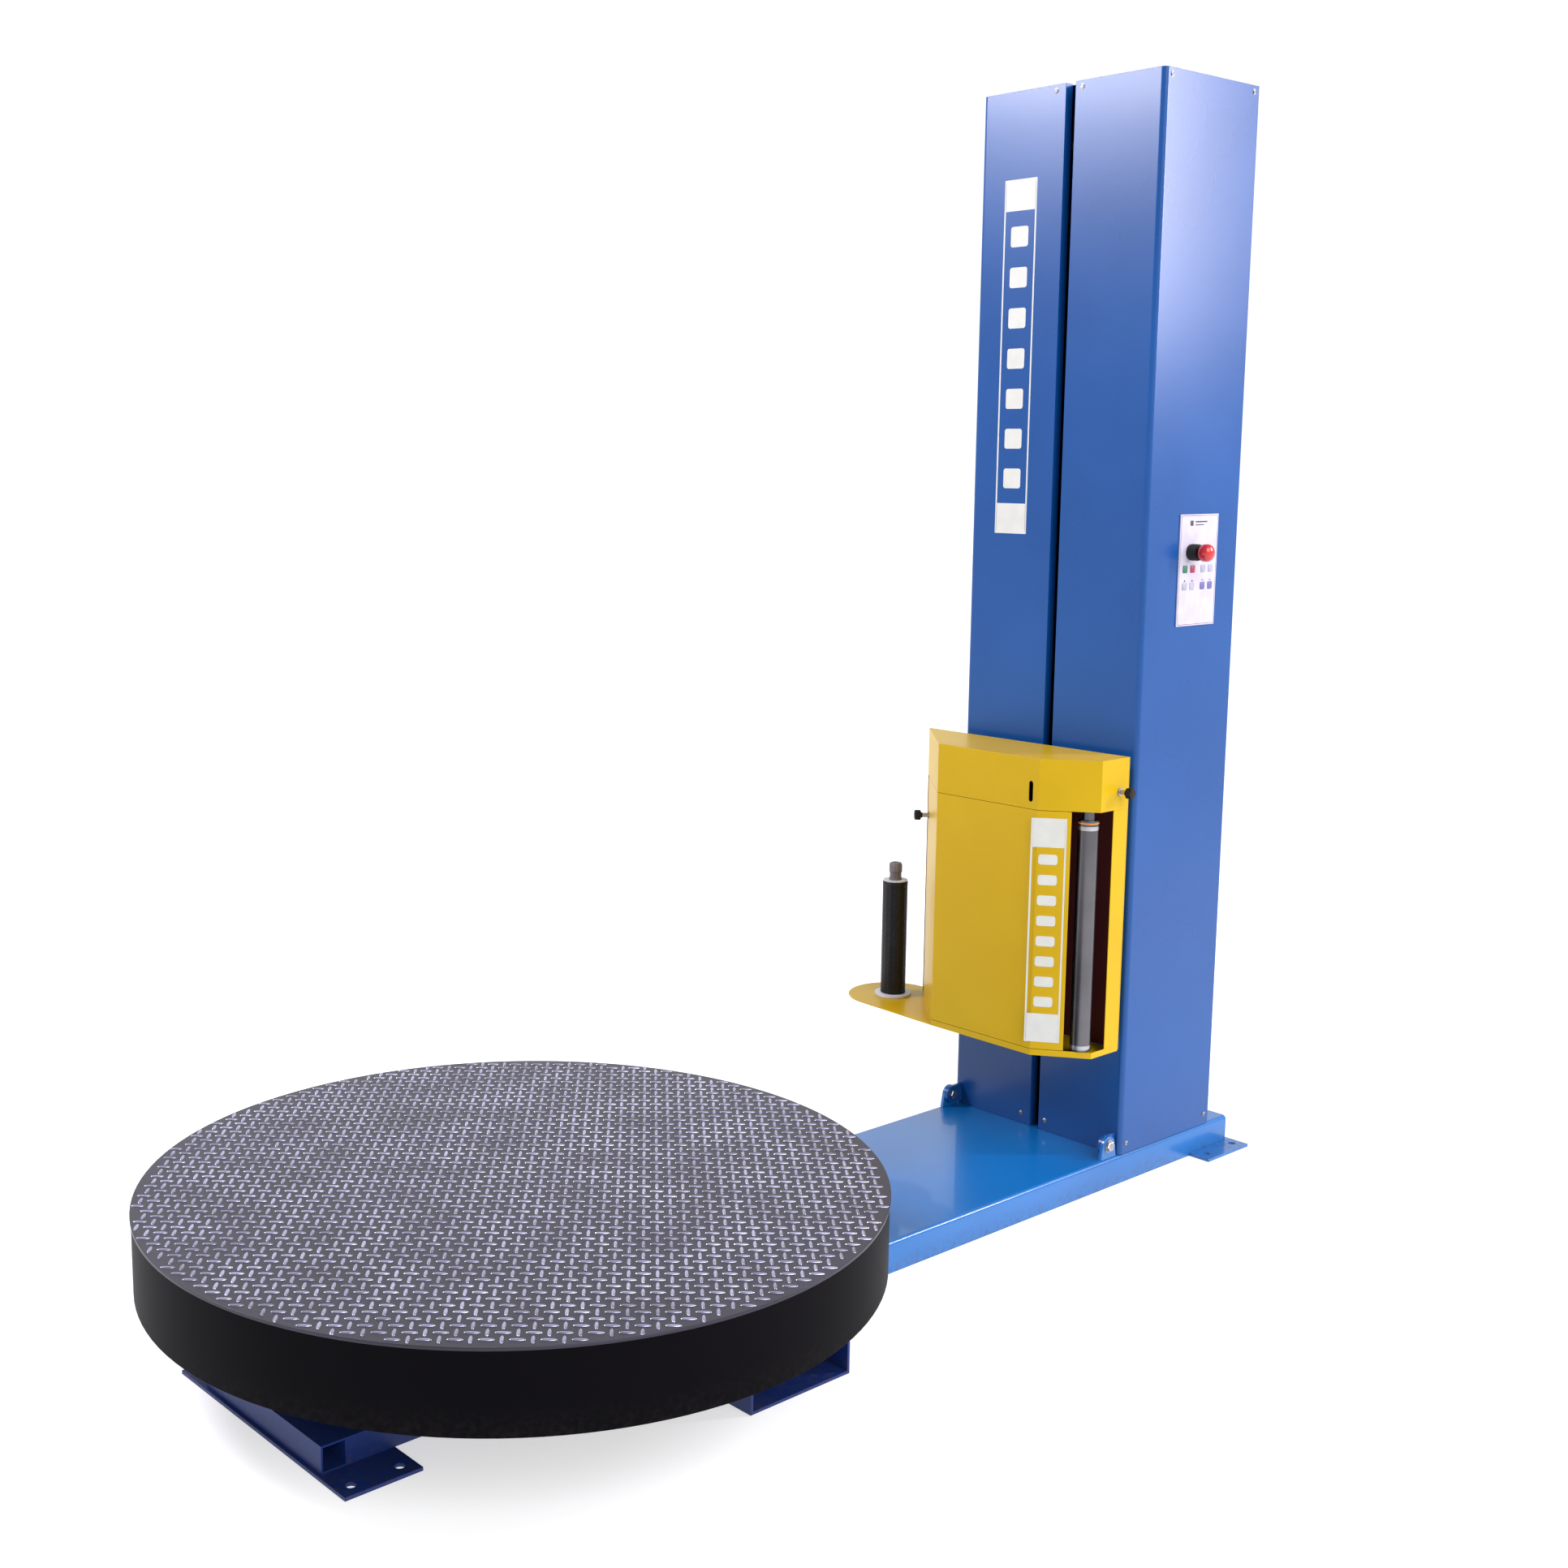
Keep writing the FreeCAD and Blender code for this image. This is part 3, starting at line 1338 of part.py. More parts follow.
base_channel()
foot_plate("front_foot_plate", (front_plate_start, front_plate_start + size.front_plate_depth),
           size.front_plate_width)
foot_plate("rear_foot_plate", (rear_plate_front, rear_plate_front + size.rear_plate_depth),
           size.rear_plate_width)
fork_tray()
under_frame()
support_spider()
wheel_brackets()
for number, degrees in enumerate(wheel_angles, start=1):
    support_wheel(number, degrees)
king_pin()
table_bearing()
table_gearmotor()
table_drive()
table_plate()
table_skirt()
table_ribs()
hinge()
mast_shell()
cover_screws()
mast_column()
guide_rails()
lift_drive()
controls()
cable_gland()
carriage_floor()
gear_plate()
carriage_hood()
carriage_back_plate()
carriage_side()
film_door()
knobs()
trolley()
spindle()
rollers()
film_brake()

doc.recompute()
failed = [item.Name for item in doc.Objects if "Invalid" in item.State or "Error" in item.State]
if failed:
    raise RuntimeError(f"objects that did not build: {failed}")
for piece in nodes:
    if piece.Shape.isNull() or not piece.Shape.isValid() or not piece.Shape.Solids:
        raise RuntimeError(f"{piece.Label} has no valid solid")

os.makedirs("parts", exist_ok=True)
for piece in nodes:
    piece.Shape.exportStep(f"parts/{piece.Label}.step")
    corners = piece.Shape.BoundBox
    print(f"{piece.Label}: {len(piece.Shape.Solids)} solids, x {corners.XMin:.1f} to {corners.XMax:.1f}, "
          f"y {corners.YMin:.1f} to {corners.YMax:.1f}, z {corners.ZMin:.1f} to {corners.ZMax:.1f}")
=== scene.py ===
import json
import math

import bmesh
import bpy
from mathutils import Matrix, Vector


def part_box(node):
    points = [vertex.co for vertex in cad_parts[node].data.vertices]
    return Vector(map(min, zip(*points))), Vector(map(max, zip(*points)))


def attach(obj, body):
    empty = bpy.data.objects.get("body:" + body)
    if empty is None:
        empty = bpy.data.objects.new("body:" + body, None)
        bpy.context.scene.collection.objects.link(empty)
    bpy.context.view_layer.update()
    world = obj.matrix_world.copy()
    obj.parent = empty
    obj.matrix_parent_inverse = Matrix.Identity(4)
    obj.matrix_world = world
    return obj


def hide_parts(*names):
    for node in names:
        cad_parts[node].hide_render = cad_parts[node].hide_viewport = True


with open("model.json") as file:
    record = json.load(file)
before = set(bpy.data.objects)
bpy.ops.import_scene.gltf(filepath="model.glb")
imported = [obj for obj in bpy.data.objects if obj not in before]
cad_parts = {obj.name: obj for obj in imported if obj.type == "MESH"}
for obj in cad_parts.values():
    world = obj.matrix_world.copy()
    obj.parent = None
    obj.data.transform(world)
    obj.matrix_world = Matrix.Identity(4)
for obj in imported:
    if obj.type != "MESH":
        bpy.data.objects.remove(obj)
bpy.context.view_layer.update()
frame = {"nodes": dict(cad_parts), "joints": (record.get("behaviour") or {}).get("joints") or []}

# Turntable pallet wrapper, metres, z up, +X from the turntable to the mast.
nodes = frame["nodes"]
joints = {joint["name"]: joint for joint in frame["joints"]}


# Shaders.

def tone(red, green, blue):
    # display values 0 to 255, turned into scene-linear colour
    def linear(value):
        value /= 255
        return value / 12.92 if value <= 0.04045 else ((value + 0.055) / 1.055) ** 2.4
    return (linear(red), linear(green), linear(blue), 1)


def adjust(thing, settings):
    for name, value in settings.items():
        setattr(thing, name, value)


def feed(node, sockets):
    # a link where the value is a wire, a plain setting where it isn't
    for name, value in sockets.items():
        if isinstance(value, Wire):
            value.tree.links.new(value.socket, node.inputs[name])
        else:
            node.inputs[name].default_value = value


class Wire:
    # a socket of a node tree: sums on it add Math nodes
    def __init__(self, tree, socket=None):
        self.tree = tree
        self.socket = socket

    def node(self, kind, settings, sockets, output=0):
        made = self.tree.nodes.new("ShaderNode" + kind)
        adjust(made, settings)
        feed(made, sockets)
        return Wire(self.tree, made.outputs[output])

    def maths(self, operation, first, second):
        return self.node("Math", {"operation": operation}, {0: first, 1: second})

    def __add__(self, other):
        return self.maths("ADD", self, other)

    def __sub__(self, other):
        return self.maths("SUBTRACT", self, other)

    def __rsub__(self, other):
        return self.maths("SUBTRACT", other, self)

    def __mul__(self, other):
        return self.maths("MULTIPLY", self, other)

    __radd__ = __add__
    __rmul__ = __mul__

    def clamped(self):
        return self.node("Clamp", {}, {"Value": self})

    def between(self, low, high):
        # 0 at low, 1 at high, smooth in between
        return self.node("MapRange", {"interpolation_type": "SMOOTHSTEP"},
                         {0: self, 1: low, 2: high})

    def blend(self, first, second):
        # colour: first where this is 0, second where it is 1; a Mix node's colours are 6, 7 and 2
        return self.node("Mix", {"data_type": "RGBA"}, {0: self, 6: first, 7: second}, 2)


def startMaterial(name):
    material = bpy.data.materials.new(name)
    material.use_nodes = True
    tree = material.node_tree
    return material, Wire(tree), tree.nodes["Principled BSDF"]


def noise(tree, place, scale, detail, roughness=0.5):
    return tree.node("TexNoise", {}, {"Vector": place, "Scale": scale, "Detail": detail,
                                      "Roughness": roughness})


def stretched(tree, place, scale):
    return tree.node("Mapping", {}, {"Vector": place, "Scale": scale})


def placeOf(tree):
    return tree.node("TexCoord", {}, {}, "Object")


def bumped(tree, height, strength, distance):
    return tree.node("Bump", {}, {"Height": height, "Strength": strength, "Distance": distance})


paintwork = {
    "cloudScale": 2.2, "cloudBand": (0.3, 0.72), "cloudRough": 0.08,
    "peelScale": 420.0, "peel": 0.06, "peelDepth": 0.0006,
    "scratchStretch": (9, 9, 160), "scratchScale": 3.2, "scratchPeel": 0.15,
    "scuffBand": (0.66, 0.76), "patchScale": 3.1, "patchBand": (0.5, 0.66),
    "scuffs": 0.5, "scuffRough": 0.22,
    "speckScale": 95.0, "speckBand": (0.35, 0.75), "grimeBand": (0.0, 0.11),
    "grime": 0.35, "grimeRough": 0.3, "grimeColour": tone(58, 54, 52),
    "metal": 0.0, "coat": 0.35, "coatRough": 0.12, "gloss": 0.5}


def paint(name, dark, light, rough, look):
    # sprayed paint: orange peel, faint cloudiness, scuffs, and grime towards the floor
    look = {**paintwork, **look}
    material, tree, shader = startMaterial(name)
    place = placeOf(tree)
    cloud = noise(tree, place, look["cloudScale"], 4)
    peel = noise(tree, place, look["peelScale"], 2)
    scratch = noise(tree, stretched(tree, place, look["scratchStretch"]), look["scratchScale"],
                    5, 0.6)
    patch = noise(tree, place, look["patchScale"], 2)
    speck = noise(tree, place, look["speckScale"], 3)
    height = tree.node("SeparateXYZ", {}, {0: place}, "Z")
    scuff = scratch.between(*look["scuffBand"]) * patch.between(*look["patchBand"])
    scuff = scuff * look["scuffs"]
    grime = (1 - height.between(*look["grimeBand"])) * speck.between(*look["speckBand"])
    grime = (grime * look["grime"]).clamped()
    colour = cloud.between(*look["cloudBand"]).blend(dark, light)
    colour = scuff.blend(colour, look.get("scuffColour", light))
    colour = grime.blend(colour, look["grimeColour"])
    rough = (rough + cloud * look["cloudRough"] + scuff * look["scuffRough"]
             + grime * look["grimeRough"])
    relief = peel + scratch * look["scratchPeel"]
    feed(shader, {"Base Color": colour, "Roughness": rough.clamped(),
                  "Normal": bumped(tree, relief, look["peel"], look["peelDepth"]),
                  "Metallic": look["metal"], "Coat Weight": look["coat"],
                  "Coat Roughness": look["coatRough"], "Specular IOR Level": look["gloss"]})
    return material


steelwork = {
    "lines": (30, 30, 900), "lineScale": 2.0, "lineRough": 0.14, "bump": 0.12,
    "bumpDepth": 0.0004, "stainScale": 24.0, "stainBand": (0.35, 0.7),
    "stainRough": 0.1, "oil": 0.2, "oilScale": 11.0, "oilBand": (0.5, 0.8),
    "oilShine": 0.08, "oilColour": tone(46, 40, 34)}


def steel(name, dark, light, rough, look):
    # bare or plated steel: drawn or turned lines, stains and oil
    look = {**steelwork, **look}
    material, tree, shader = startMaterial(name)
    place = placeOf(tree)
    lines = noise(tree, stretched(tree, place, look["lines"]), look["lineScale"], 3)
    stain = noise(tree, place, look["stainScale"], 4)
    oil = noise(tree, place, look["oilScale"], 2).between(*look["oilBand"]) * look["oil"]
    colour = stain.between(*look["stainBand"]).blend(dark, light)
    colour = oil.blend(colour, look["oilColour"])
    rough = (rough + lines * look["lineRough"] + stain * look["stainRough"]
             - oil * look["oilShine"])
    feed(shader, {"Base Color": colour, "Roughness": rough.clamped(), "Metallic": 1.0,
                  "Normal": bumped(tree, lines, look["bump"], look["bumpDepth"])})
    return material


plastics = {
    "grainScale": 900.0, "grain": 0.08, "grainDepth": 0.0004, "rubScale": 30.0,
    "rubBand": (0.3, 0.7), "rubRough": 0.12, "dust": 0.12, "dustScale": 140.0,
    "dustBand": (0.55, 0.8), "dustRough": 0.3, "dustColour": tone(150, 146, 140),
    "coat": 0.0, "coatRough": 0.1, "gloss": 0.5}


def moulded(name, dark, light, rough, look):
    # moulded plastic or rubber: fine grain, rubbed patches, a little dust
    look = {**plastics, **look}
    material, tree, shader = startMaterial(name)
    place = placeOf(tree)
    grain = noise(tree, place, look["grainScale"], 2)
    rub = noise(tree, place, look["rubScale"], 3)
    dust = noise(tree, place, look["dustScale"], 4).between(*look["dustBand"]) * look["dust"]
    colour = rub.between(*look["rubBand"]).blend(dark, light)
    colour = dust.blend(colour, look["dustColour"])
    rough = rough + rub * look["rubRough"] + dust * look["dustRough"]
    feed(shader, {"Base Color": colour, "Roughness": rough.clamped(),
                  "Coat Weight": look["coat"], "Coat Roughness": look["coatRough"],
                  "Specular IOR Level": look["gloss"],
                  "Normal": bumped(tree, grain, look["grain"], look["grainDepth"])})
    return material


# each finish is (maker, dark tone, light tone, roughness, what else is its own)
finishes = {
    "baseBlue": (paint, (8, 90, 158), (14, 100, 171), 0.25,
        {"grime": 0.45, "grimeBand": (0.0, 0.05), "scuffs": 0.1, "coatRough": 0.06,
        "scuffColour": tone(70, 130, 190)}),
    "mastBlue": (paint, (7, 66, 130), (13, 73, 140), 0.24,
        {"grime": 0.2, "grimeBand": (0.06, 0.3), "scuffs": 0.03, "coat": 0.08, "gloss": 0.34,
        "scuffColour": tone(60, 104, 170)}),
    # painted shade: the blue darkened to navy for the shade the tray and frame sit in under the
    # table; its grime and scuffs are its own
    "trayBluePaintedShade": (paint, (12, 34, 92), (18, 46, 112), 0.36,
        {"grime": 0.5, "grimeBand": (0.0, 0.06), "scuffs": 0.4, "coat": 0.05, "gloss": 0.3,
        "scuffColour": tone(50, 84, 140)}),
    "frameDark": (paint, (14, 18, 34), (22, 26, 44), 0.5,
        {"coat": 0.05, "grime": 0.4, "gloss": 0.3}),
    "skirtBlack": (paint, (6, 5, 8), (10, 8, 12), 0.46,
        {"coat": 0.0, "gloss": 0.03, "grimeBand": (0.17, 0.24), "grime": 0.1, "scuffs": 0.2,
        "scuffColour": tone(44, 40, 46)}),
    "treadPlate": (paint, (40, 37, 50), (50, 47, 62), 0.38,
        {"coat": 0.06, "metal": 0.45, "cloudScale": 3.0, "grimeBand": (0.0, 0.33), "grime": 0.08,
        "scuffs": 0.4, "scuffColour": tone(104, 102, 122), "peel": 0.12}),
    "treadWorn": (paint, (124, 122, 148), (176, 176, 208), 0.2,
        {"coat": 0.4, "metal": 0.8, "cloudScale": 9.0, "grimeBand": (0.0, 0.1), "grime": 0.0,
        "scuffs": 0.7, "scuffColour": tone(226, 228, 246)}),
    "carriageYellow": (paint, (182, 147, 4), (193, 157, 8), 0.32,
        {"grime": 0.0, "scuffs": 0.25, "scuffColour": tone(160, 126, 22), "coat": 0.05,
        "gloss": 0.16}),
    # painted shade: a dark red-brown for the carriage's inner faces, which sit in shadow
    "paintedShadeInside": (paint, (92, 38, 40), (112, 50, 50), 0.45,
        {"coat": 0.0, "grime": 0.0, "scuffs": 0.2, "scuffColour": tone(130, 84, 74),
        "gloss": 0.3}),
    "motorGrey": (paint, (70, 76, 86), (92, 98, 108), 0.42,
        {"coat": 0.1, "peel": 0.25, "peelScale": 260.0, "grime": 0.2}),
    "enclosureGrey": (paint, (120, 122, 126), (142, 144, 148), 0.4, {"grime": 0.0}),
    "zinc": (steel, (150, 150, 152), (188, 188, 192), 0.24, {}),
    "machined": (steel, (120, 120, 124), (164, 164, 170), 0.2, {"oil": 0.35}),
    "chainSteel": (steel, (70, 66, 62), (116, 112, 108), 0.3, {"oil": 0.6}),
    "rollerSteel": (steel, (96, 95, 98), (110, 109, 112), 0.19,
        {"lines": (8, 8, 1400), "oil": 0.0, "stainScale": 5.0, "bump": 0.06}),
    "rollerRubber": (moulded, (24, 24, 27), (38, 37, 40), 0.6, {"dust": 0.2}),
    "nylon": (moulded, (196, 192, 178), (222, 218, 206), 0.42, {"dust": 0.3}),
    "panelWhite": (moulded, (178, 173, 190), (188, 183, 200), 0.34, {"grain": 0.03, "dust": 0.04}),
    "printPale": (moulded, (192, 192, 186), (198, 198, 192), 0.4, {"grain": 0.02, "dust": 0.02}),
    "printDark": (moulded, (40, 42, 60), (58, 60, 80), 0.4, {"grain": 0.02}),
    "printOrange": (moulded, (196, 112, 26), (214, 134, 44), 0.35, {}),
    "keyPale": (moulded, (140, 140, 160), (158, 158, 178), 0.38, {}),
    "keyViolet": (moulded, (84, 80, 140), (102, 98, 158), 0.38, {}),
    "keyGreen": (moulded, (20, 96, 70), (30, 114, 84), 0.38, {}),
    "keyRed": (moulded, (150, 20, 56), (172, 32, 68), 0.38, {}),
    "stopRed": (moulded, (176, 12, 16), (198, 22, 22), 0.2,
        {"coat": 0.6, "grain": 0.02, "dust": 0.04}),
    "blackPlastic": (moulded, (10, 9, 12), (18, 17, 21), 0.45, {"gloss": 0.3, "dust": 0.06}),
    "whitePlastic": (moulded, (186, 184, 192), (206, 204, 212), 0.4, {}),
    "greyPlastic": (moulded, (92, 86, 88), (116, 110, 112), 0.4, {}),
}
materials = {name: make(name, tone(*dark), tone(*light), rough, look)
             for name, (make, dark, light, rough, look) in finishes.items()}
print("materials:", len(materials))


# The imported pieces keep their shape, and get their finish and broken edges.

edgeWidth = 0.0006
edgeSteps = [("weld", "WELD", {"merge_threshold": 1e-5}),
             ("flat", "DECIMATE", {"decimate_type": "DISSOLVE",
                                   "angle_limit": math.radians(0.6)}),
             ("bevel", "BEVEL", {"segments": 2, "limit_method": "ANGLE",
                                 "angle_limit": math.radians(32), "use_clamp_overlap": True}),
             ("shade", "WEIGHTED_NORMAL", {"weight": 60})]


def softenEdges(piece, width):
    # joins flat facets, then rounds each sharp edge a little, as folded and machined metal has it
    for name, kind, settings in edgeSteps:
        adjust(piece.modifiers.new(name, kind), settings)
    piece.modifiers["bevel"].width = width


carried = {
    "baseBlue": ["base_channel", "rear_foot_plate", "base_hinge_lugs"],
    # these pieces get the blue darkened with painted shade
    "trayBluePaintedShade": ["fork_tray", "under_frame", "front_foot_plate"],
    "mastBlue": ["mast_cover_left", "mast_cover_right", "mast_back_cover", "mast_top_cap",
                 "mast_hinge_lugs"],
    "frameDark": ["support_spider", "wheel_brackets", "mast_column", "table_ribs"],
    "skirtBlack": ["table_skirt"],
    "treadPlate": ["table_plate"],
    "carriageYellow": ["carriage_floor", "carriage_hood", "carriage_back_plate",
                       "carriage_side", "film_door"],
    "zinc": ["gear_plate", "trolley", "spindle_shaft", "door_hinge_rod"],
    "machined": ["king_pin", "table_bearing", "guide_rails", "ring_sprocket",
                 "drive_sprocket", "lift_sprocket_top", "lift_sprocket_foot"],
    "rollerSteel": ["exit_roller", "infeed_roller"],
    "rollerRubber": ["slow_roller", "fast_roller"],
    "nylon": ["support_wheel_1", "support_wheel_2", "support_wheel_3", "support_wheel_4",
              "trolley_wheels"],
    "motorGrey": ["film_brake"],
    "panelWhite": ["control_panel"],
    "enclosureGrey": ["control_box"],
    "blackPlastic": ["estop_collar"],
    "whitePlastic": ["spindle_discs"],
}
ownEdges = {
    "ring_sprocket": 0.0003, "drive_sprocket": 0.0003, "lift_sprocket_top": 0.0003,
    "lift_sprocket_foot": 0.0003, "slow_roller": 0.0003, "fast_roller": 0.0003,
    "table_plate": 0.0012, "table_skirt": 0.0008, "mast_cover_left": 0.0008,
    "mast_cover_right": 0.0008, "film_door": 0.0007}
for finish, names in carried.items():
    for name in names:
        piece = nodes[name]
        piece.data.materials.clear()
        piece.data.materials.append(materials[finish])
        softenEdges(piece, ownEdges.get(name, edgeWidth))
print("carried pieces:", sum(len(names) for names in carried.values()))


inside = {
    "names": ["carriage_hood", "film_door", "carriage_side"], "facing": 0.35,
    "roofFacing": -0.9, "roofBand": 0.01, "backFacing": -0.5}


def paintShadeInside():
    # painted shade: the sheet's inner faces get a dark red-brown in place of the shadow inside the
    # carriage, seen through the film window and the open door
    low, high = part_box("carriage_hood")
    middle = Vector(((low.x + high.x) / 2, (low.y + high.y) / 2, 0))
    for name in inside["names"]:
        piece = nodes[name]
        piece.data.materials.append(materials["paintedShadeInside"])
        turn = piece.matrix_world
        for face in piece.data.polygons:
            inward = middle - (turn @ face.center)
            inward.z = 0
            normal = turn.to_3x3() @ face.normal
            facesIn = normal.dot(inward.normalized()) > inside["facing"]
            underRoof = (normal.z < inside["roofFacing"]
                         and face.center.z > high.z - inside["roofBand"])
            face.material_index = int(facesIn or underRoof)
    # painted shade also on the back plate's face towards the inside
    back = nodes["carriage_back_plate"]
    back.data.materials.append(materials["paintedShadeInside"])
    for face in back.data.polygons:
        face.material_index = int(face.normal.x < inside["backFacing"])


paintShadeInside()
print("inner faces done")


# Mesh helpers.

weldReach, crownShare = 1e-7, 0.9


def acrossOf(direction):
    # two directions square to one another and to the given one
    direction = Vector(direction).normalized()
    helper = Vector((0, 0, 1)) if abs(direction.z) < 0.9 else Vector((1, 0, 0))
    first = helper.cross(direction).normalized()
    return first, direction.cross(first)


def addTurned(mesh, profile, start, direction, segments, lobes=0, lobeDepth=0.0, ring=False):
    # revolves (radius, distance) points about a line; lobes scallop the outside, and the
    # profile of a ring closes on itself
    direction = Vector(direction).normalized()
    first, second = acrossOf(direction)
    if ring:
        profile = profile + profile[:1]
    rings = []
    for radius, distance in profile:
        centre = Vector(start) + direction * distance
        if radius == 0:
            rings.append([mesh.verts.new(centre)])
            continue
        corners = []
        for number in range(segments):
            angle = math.tau * number / segments
            reach = radius * (1 - lobeDepth * (0.5 - 0.5 * math.cos(lobes * angle)))
            ray = first * math.cos(angle) + second * math.sin(angle)
            corners.append(mesh.verts.new(centre + ray * reach))
        rings.append(corners)
    for low, high in zip(rings, rings[1:]):
        for number in range(segments):
            following = (number + 1) % segments
            corners = [low[number % len(low)], low[following % len(low)],
                       high[following % len(high)], high[number % len(high)]]
            corners = list(dict.fromkeys(corners))
            if len(corners) > 2:
                mesh.faces.new(corners)
    if not ring:
        for end in (rings[0][::-1], rings[-1]):
            if len(end) > 2:
                mesh.faces.new(end)


def scaled(shape, radius, high):
    # a turned profile given in shares of its radius and height
    return [(radius * across, high * along) for across, along in shape]


def fromTop(shape, radius, long):
    # the same, with distances in metres down from the far end
    return [(radius * across, long - drop) for across, drop in shape]


def addBlock(mesh, low, high, soft=0.0):
    made = bmesh.ops.create_cube(mesh, size=1)["verts"]
    for corner in made:
        corner.co = Vector((low[axis] + (corner.co[axis] + 0.5) * (high[axis] - low[axis])
                            for axis in range(3)))
    if soft:
        rims = list({edge for corner in made for edge in corner.link_edges})
        bmesh.ops.bevel(mesh, geom=rims, offset=soft, segments=3, profile=0.5, affect="EDGES")


def roundedOutline(width, height, radius, steps=5):
    points = []
    for number, (x, y) in enumerate(((1, 1), (-1, 1), (-1, -1), (1, -1))):
        for step in range(steps + 1):
            angle = math.pi / 2 * (number + step / steps)
            points.append((x * (width / 2 - radius) + radius * math.cos(angle),
                           y * (height / 2 - radius) + radius * math.sin(angle)))
    return points


def addPlate(mesh, outline, middle, right, up, thick, hole=None, crown=0.0):
    # a flat plate in the plane of right and up; hole is an outline with as many points, and
    # crown raises the middle of a key
    right, up = Vector(right), Vector(up)
    out = right.cross(up).normalized()

    def loop(points, lift):
        return [mesh.verts.new(Vector(middle) + right * x + up * y + out * lift)
                for x, y in points]

    back, front = loop(outline, 0), loop(outline, thick - crown)
    walls = [(back, front)]
    if hole:
        holeBack, holeFront = loop(hole, 0), loop(hole, thick - crown)
        walls += [(front, holeFront), (holeFront, holeBack), (holeBack, back)]
    else:
        top = front
        if crown:
            top = loop([(x * crownShare, y * crownShare) for x, y in outline], thick)
            walls.append((front, top))
        mesh.faces.new(top)
        mesh.faces.new(back[::-1])
    for first, second in walls:
        for number in range(len(outline)):
            following = (number + 1) % len(outline)
            mesh.faces.new([first[number], first[following], second[following],
                            second[number]])


def uprightBox(node):
    # foot, radius and height of an upright round piece
    low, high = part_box(node)
    middle = (low + high) / 2
    return (middle.x, middle.y, low.z), (high.x - low.x) / 2, high.z - low.z


def addObject(name, data):
    made = bpy.data.objects.new(name, data)
    bpy.context.collection.objects.link(made)
    return made


def addPiece(name, mesh, finish, body, stands=(), sharp=38.0):
    bmesh.ops.remove_doubles(mesh, verts=mesh.verts, dist=weldReach)
    bmesh.ops.recalc_face_normals(mesh, faces=mesh.faces)
    data = bpy.data.meshes.new(name)
    mesh.to_mesh(data)
    mesh.free()
    data.materials.append(materials[finish])
    data.shade_smooth()
    data.set_sharp_from_angle(angle=math.radians(sharp))
    piece = addObject(name, data)
    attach(piece, body)
    if stands:
        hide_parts(*stands)


# Tread pattern on the table.

tread = {
    "pitch": 0.024, "length": 0.0265, "width": 0.0072, "rise": 0.0016, "sink": 0.0001,
    "turn": math.radians(-40), "edge": 0.0015, "ends": 6, "blunt": 0.8, "taper": 0.4,
    "levels": ((1.0, 0.0), (0.86, 0.7), (0.6, 1.0))}


def treadBar():
    # outline of one raised bar at three levels, as rings of (along, across, rise)
    rings = []
    for scale, rise in tread["levels"]:
        ring = []
        for number in range(tread["ends"] * 2):
            angle = math.pi * (number + 0.5) / tread["ends"]
            along = math.copysign(abs(math.cos(angle)) ** tread["blunt"], math.cos(angle))
            ring.append((along * tread["length"] / 2 * (1 - (1 - scale) * tread["taper"]),
                         math.sin(angle) * tread["width"] / 2 * scale, rise * tread["rise"]))
        rings.append(ring)
    return rings


def makeTread():
    low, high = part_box("table_plate")
    centre = (low + high) / 2
    reach = (high.x - low.x) / 2 - tread["edge"]
    turn = Matrix.Rotation(tread["turn"], 3, "Z")
    rings = treadBar()
    count = len(rings[0])
    points, faces, bars = [], [], 0
    steps = int(reach / tread["pitch"]) * 2
    for row in range(-steps, steps + 1):
        for column in range(-steps, steps + 1):
            spot = turn @ Vector((column * tread["pitch"], row * tread["pitch"], 0))
            if spot.length > reach - tread["width"]:
                continue
            crosswise = (row + column) % 2
            start = len(points)
            for ring in rings:
                for along, across, rise in ring:
                    flat = spot + turn @ Vector((across, along, 0) if crosswise
                                                else (along, across, 0))
                    if flat.length > reach:
                        flat *= reach / flat.length
                    points.append((centre.x + flat.x, centre.y + flat.y,
                                   high.z - tread["sink"] + rise))
            bar = []
            for level in range(len(rings) - 1):
                corner = start + level * count
                for number in range(count):
                    following = (number + 1) % count
                    bar.append((corner + number, corner + following,
                                corner + count + following, corner + count + number))
            bar.append(tuple(range(start + count * (len(rings) - 1), len(points))))
            faces += [face[::-1] if crosswise else face for face in bar]
            bars += 1
    data = bpy.data.meshes.new("treadBars")
    data.from_pydata(points, [], faces)
    data.materials.append(materials["treadWorn"])
    data.shade_smooth()
    piece = addObject("treadBars", data)
    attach(piece, "table")
    print("tread bars:", bars)


makeTread()


# Transfers on the mast and the carriage, with plain bars in place of lettering.

transfer = {
    "thick": 0.0002, "line": 0.004, "corner": 0.001, "endTrim": 1.6, "endRoom": 0.35,
    "barWide": 0.54, "barHigh": 0.5, "barCorner": 0.006}
mastTransfer = {"y": (0.085, 0.178), "z": (1.488, 2.293), "endHigh": 0.066, "bars": 7}
doorTransfer = {
    "z": (0.363, 0.876), "endHigh": 0.062, "bars": 8, "wide": 0.078, "edge": 0.008,
    "kink": -0.152, "chamferEnd": 0.096, "lift": 0.0001}


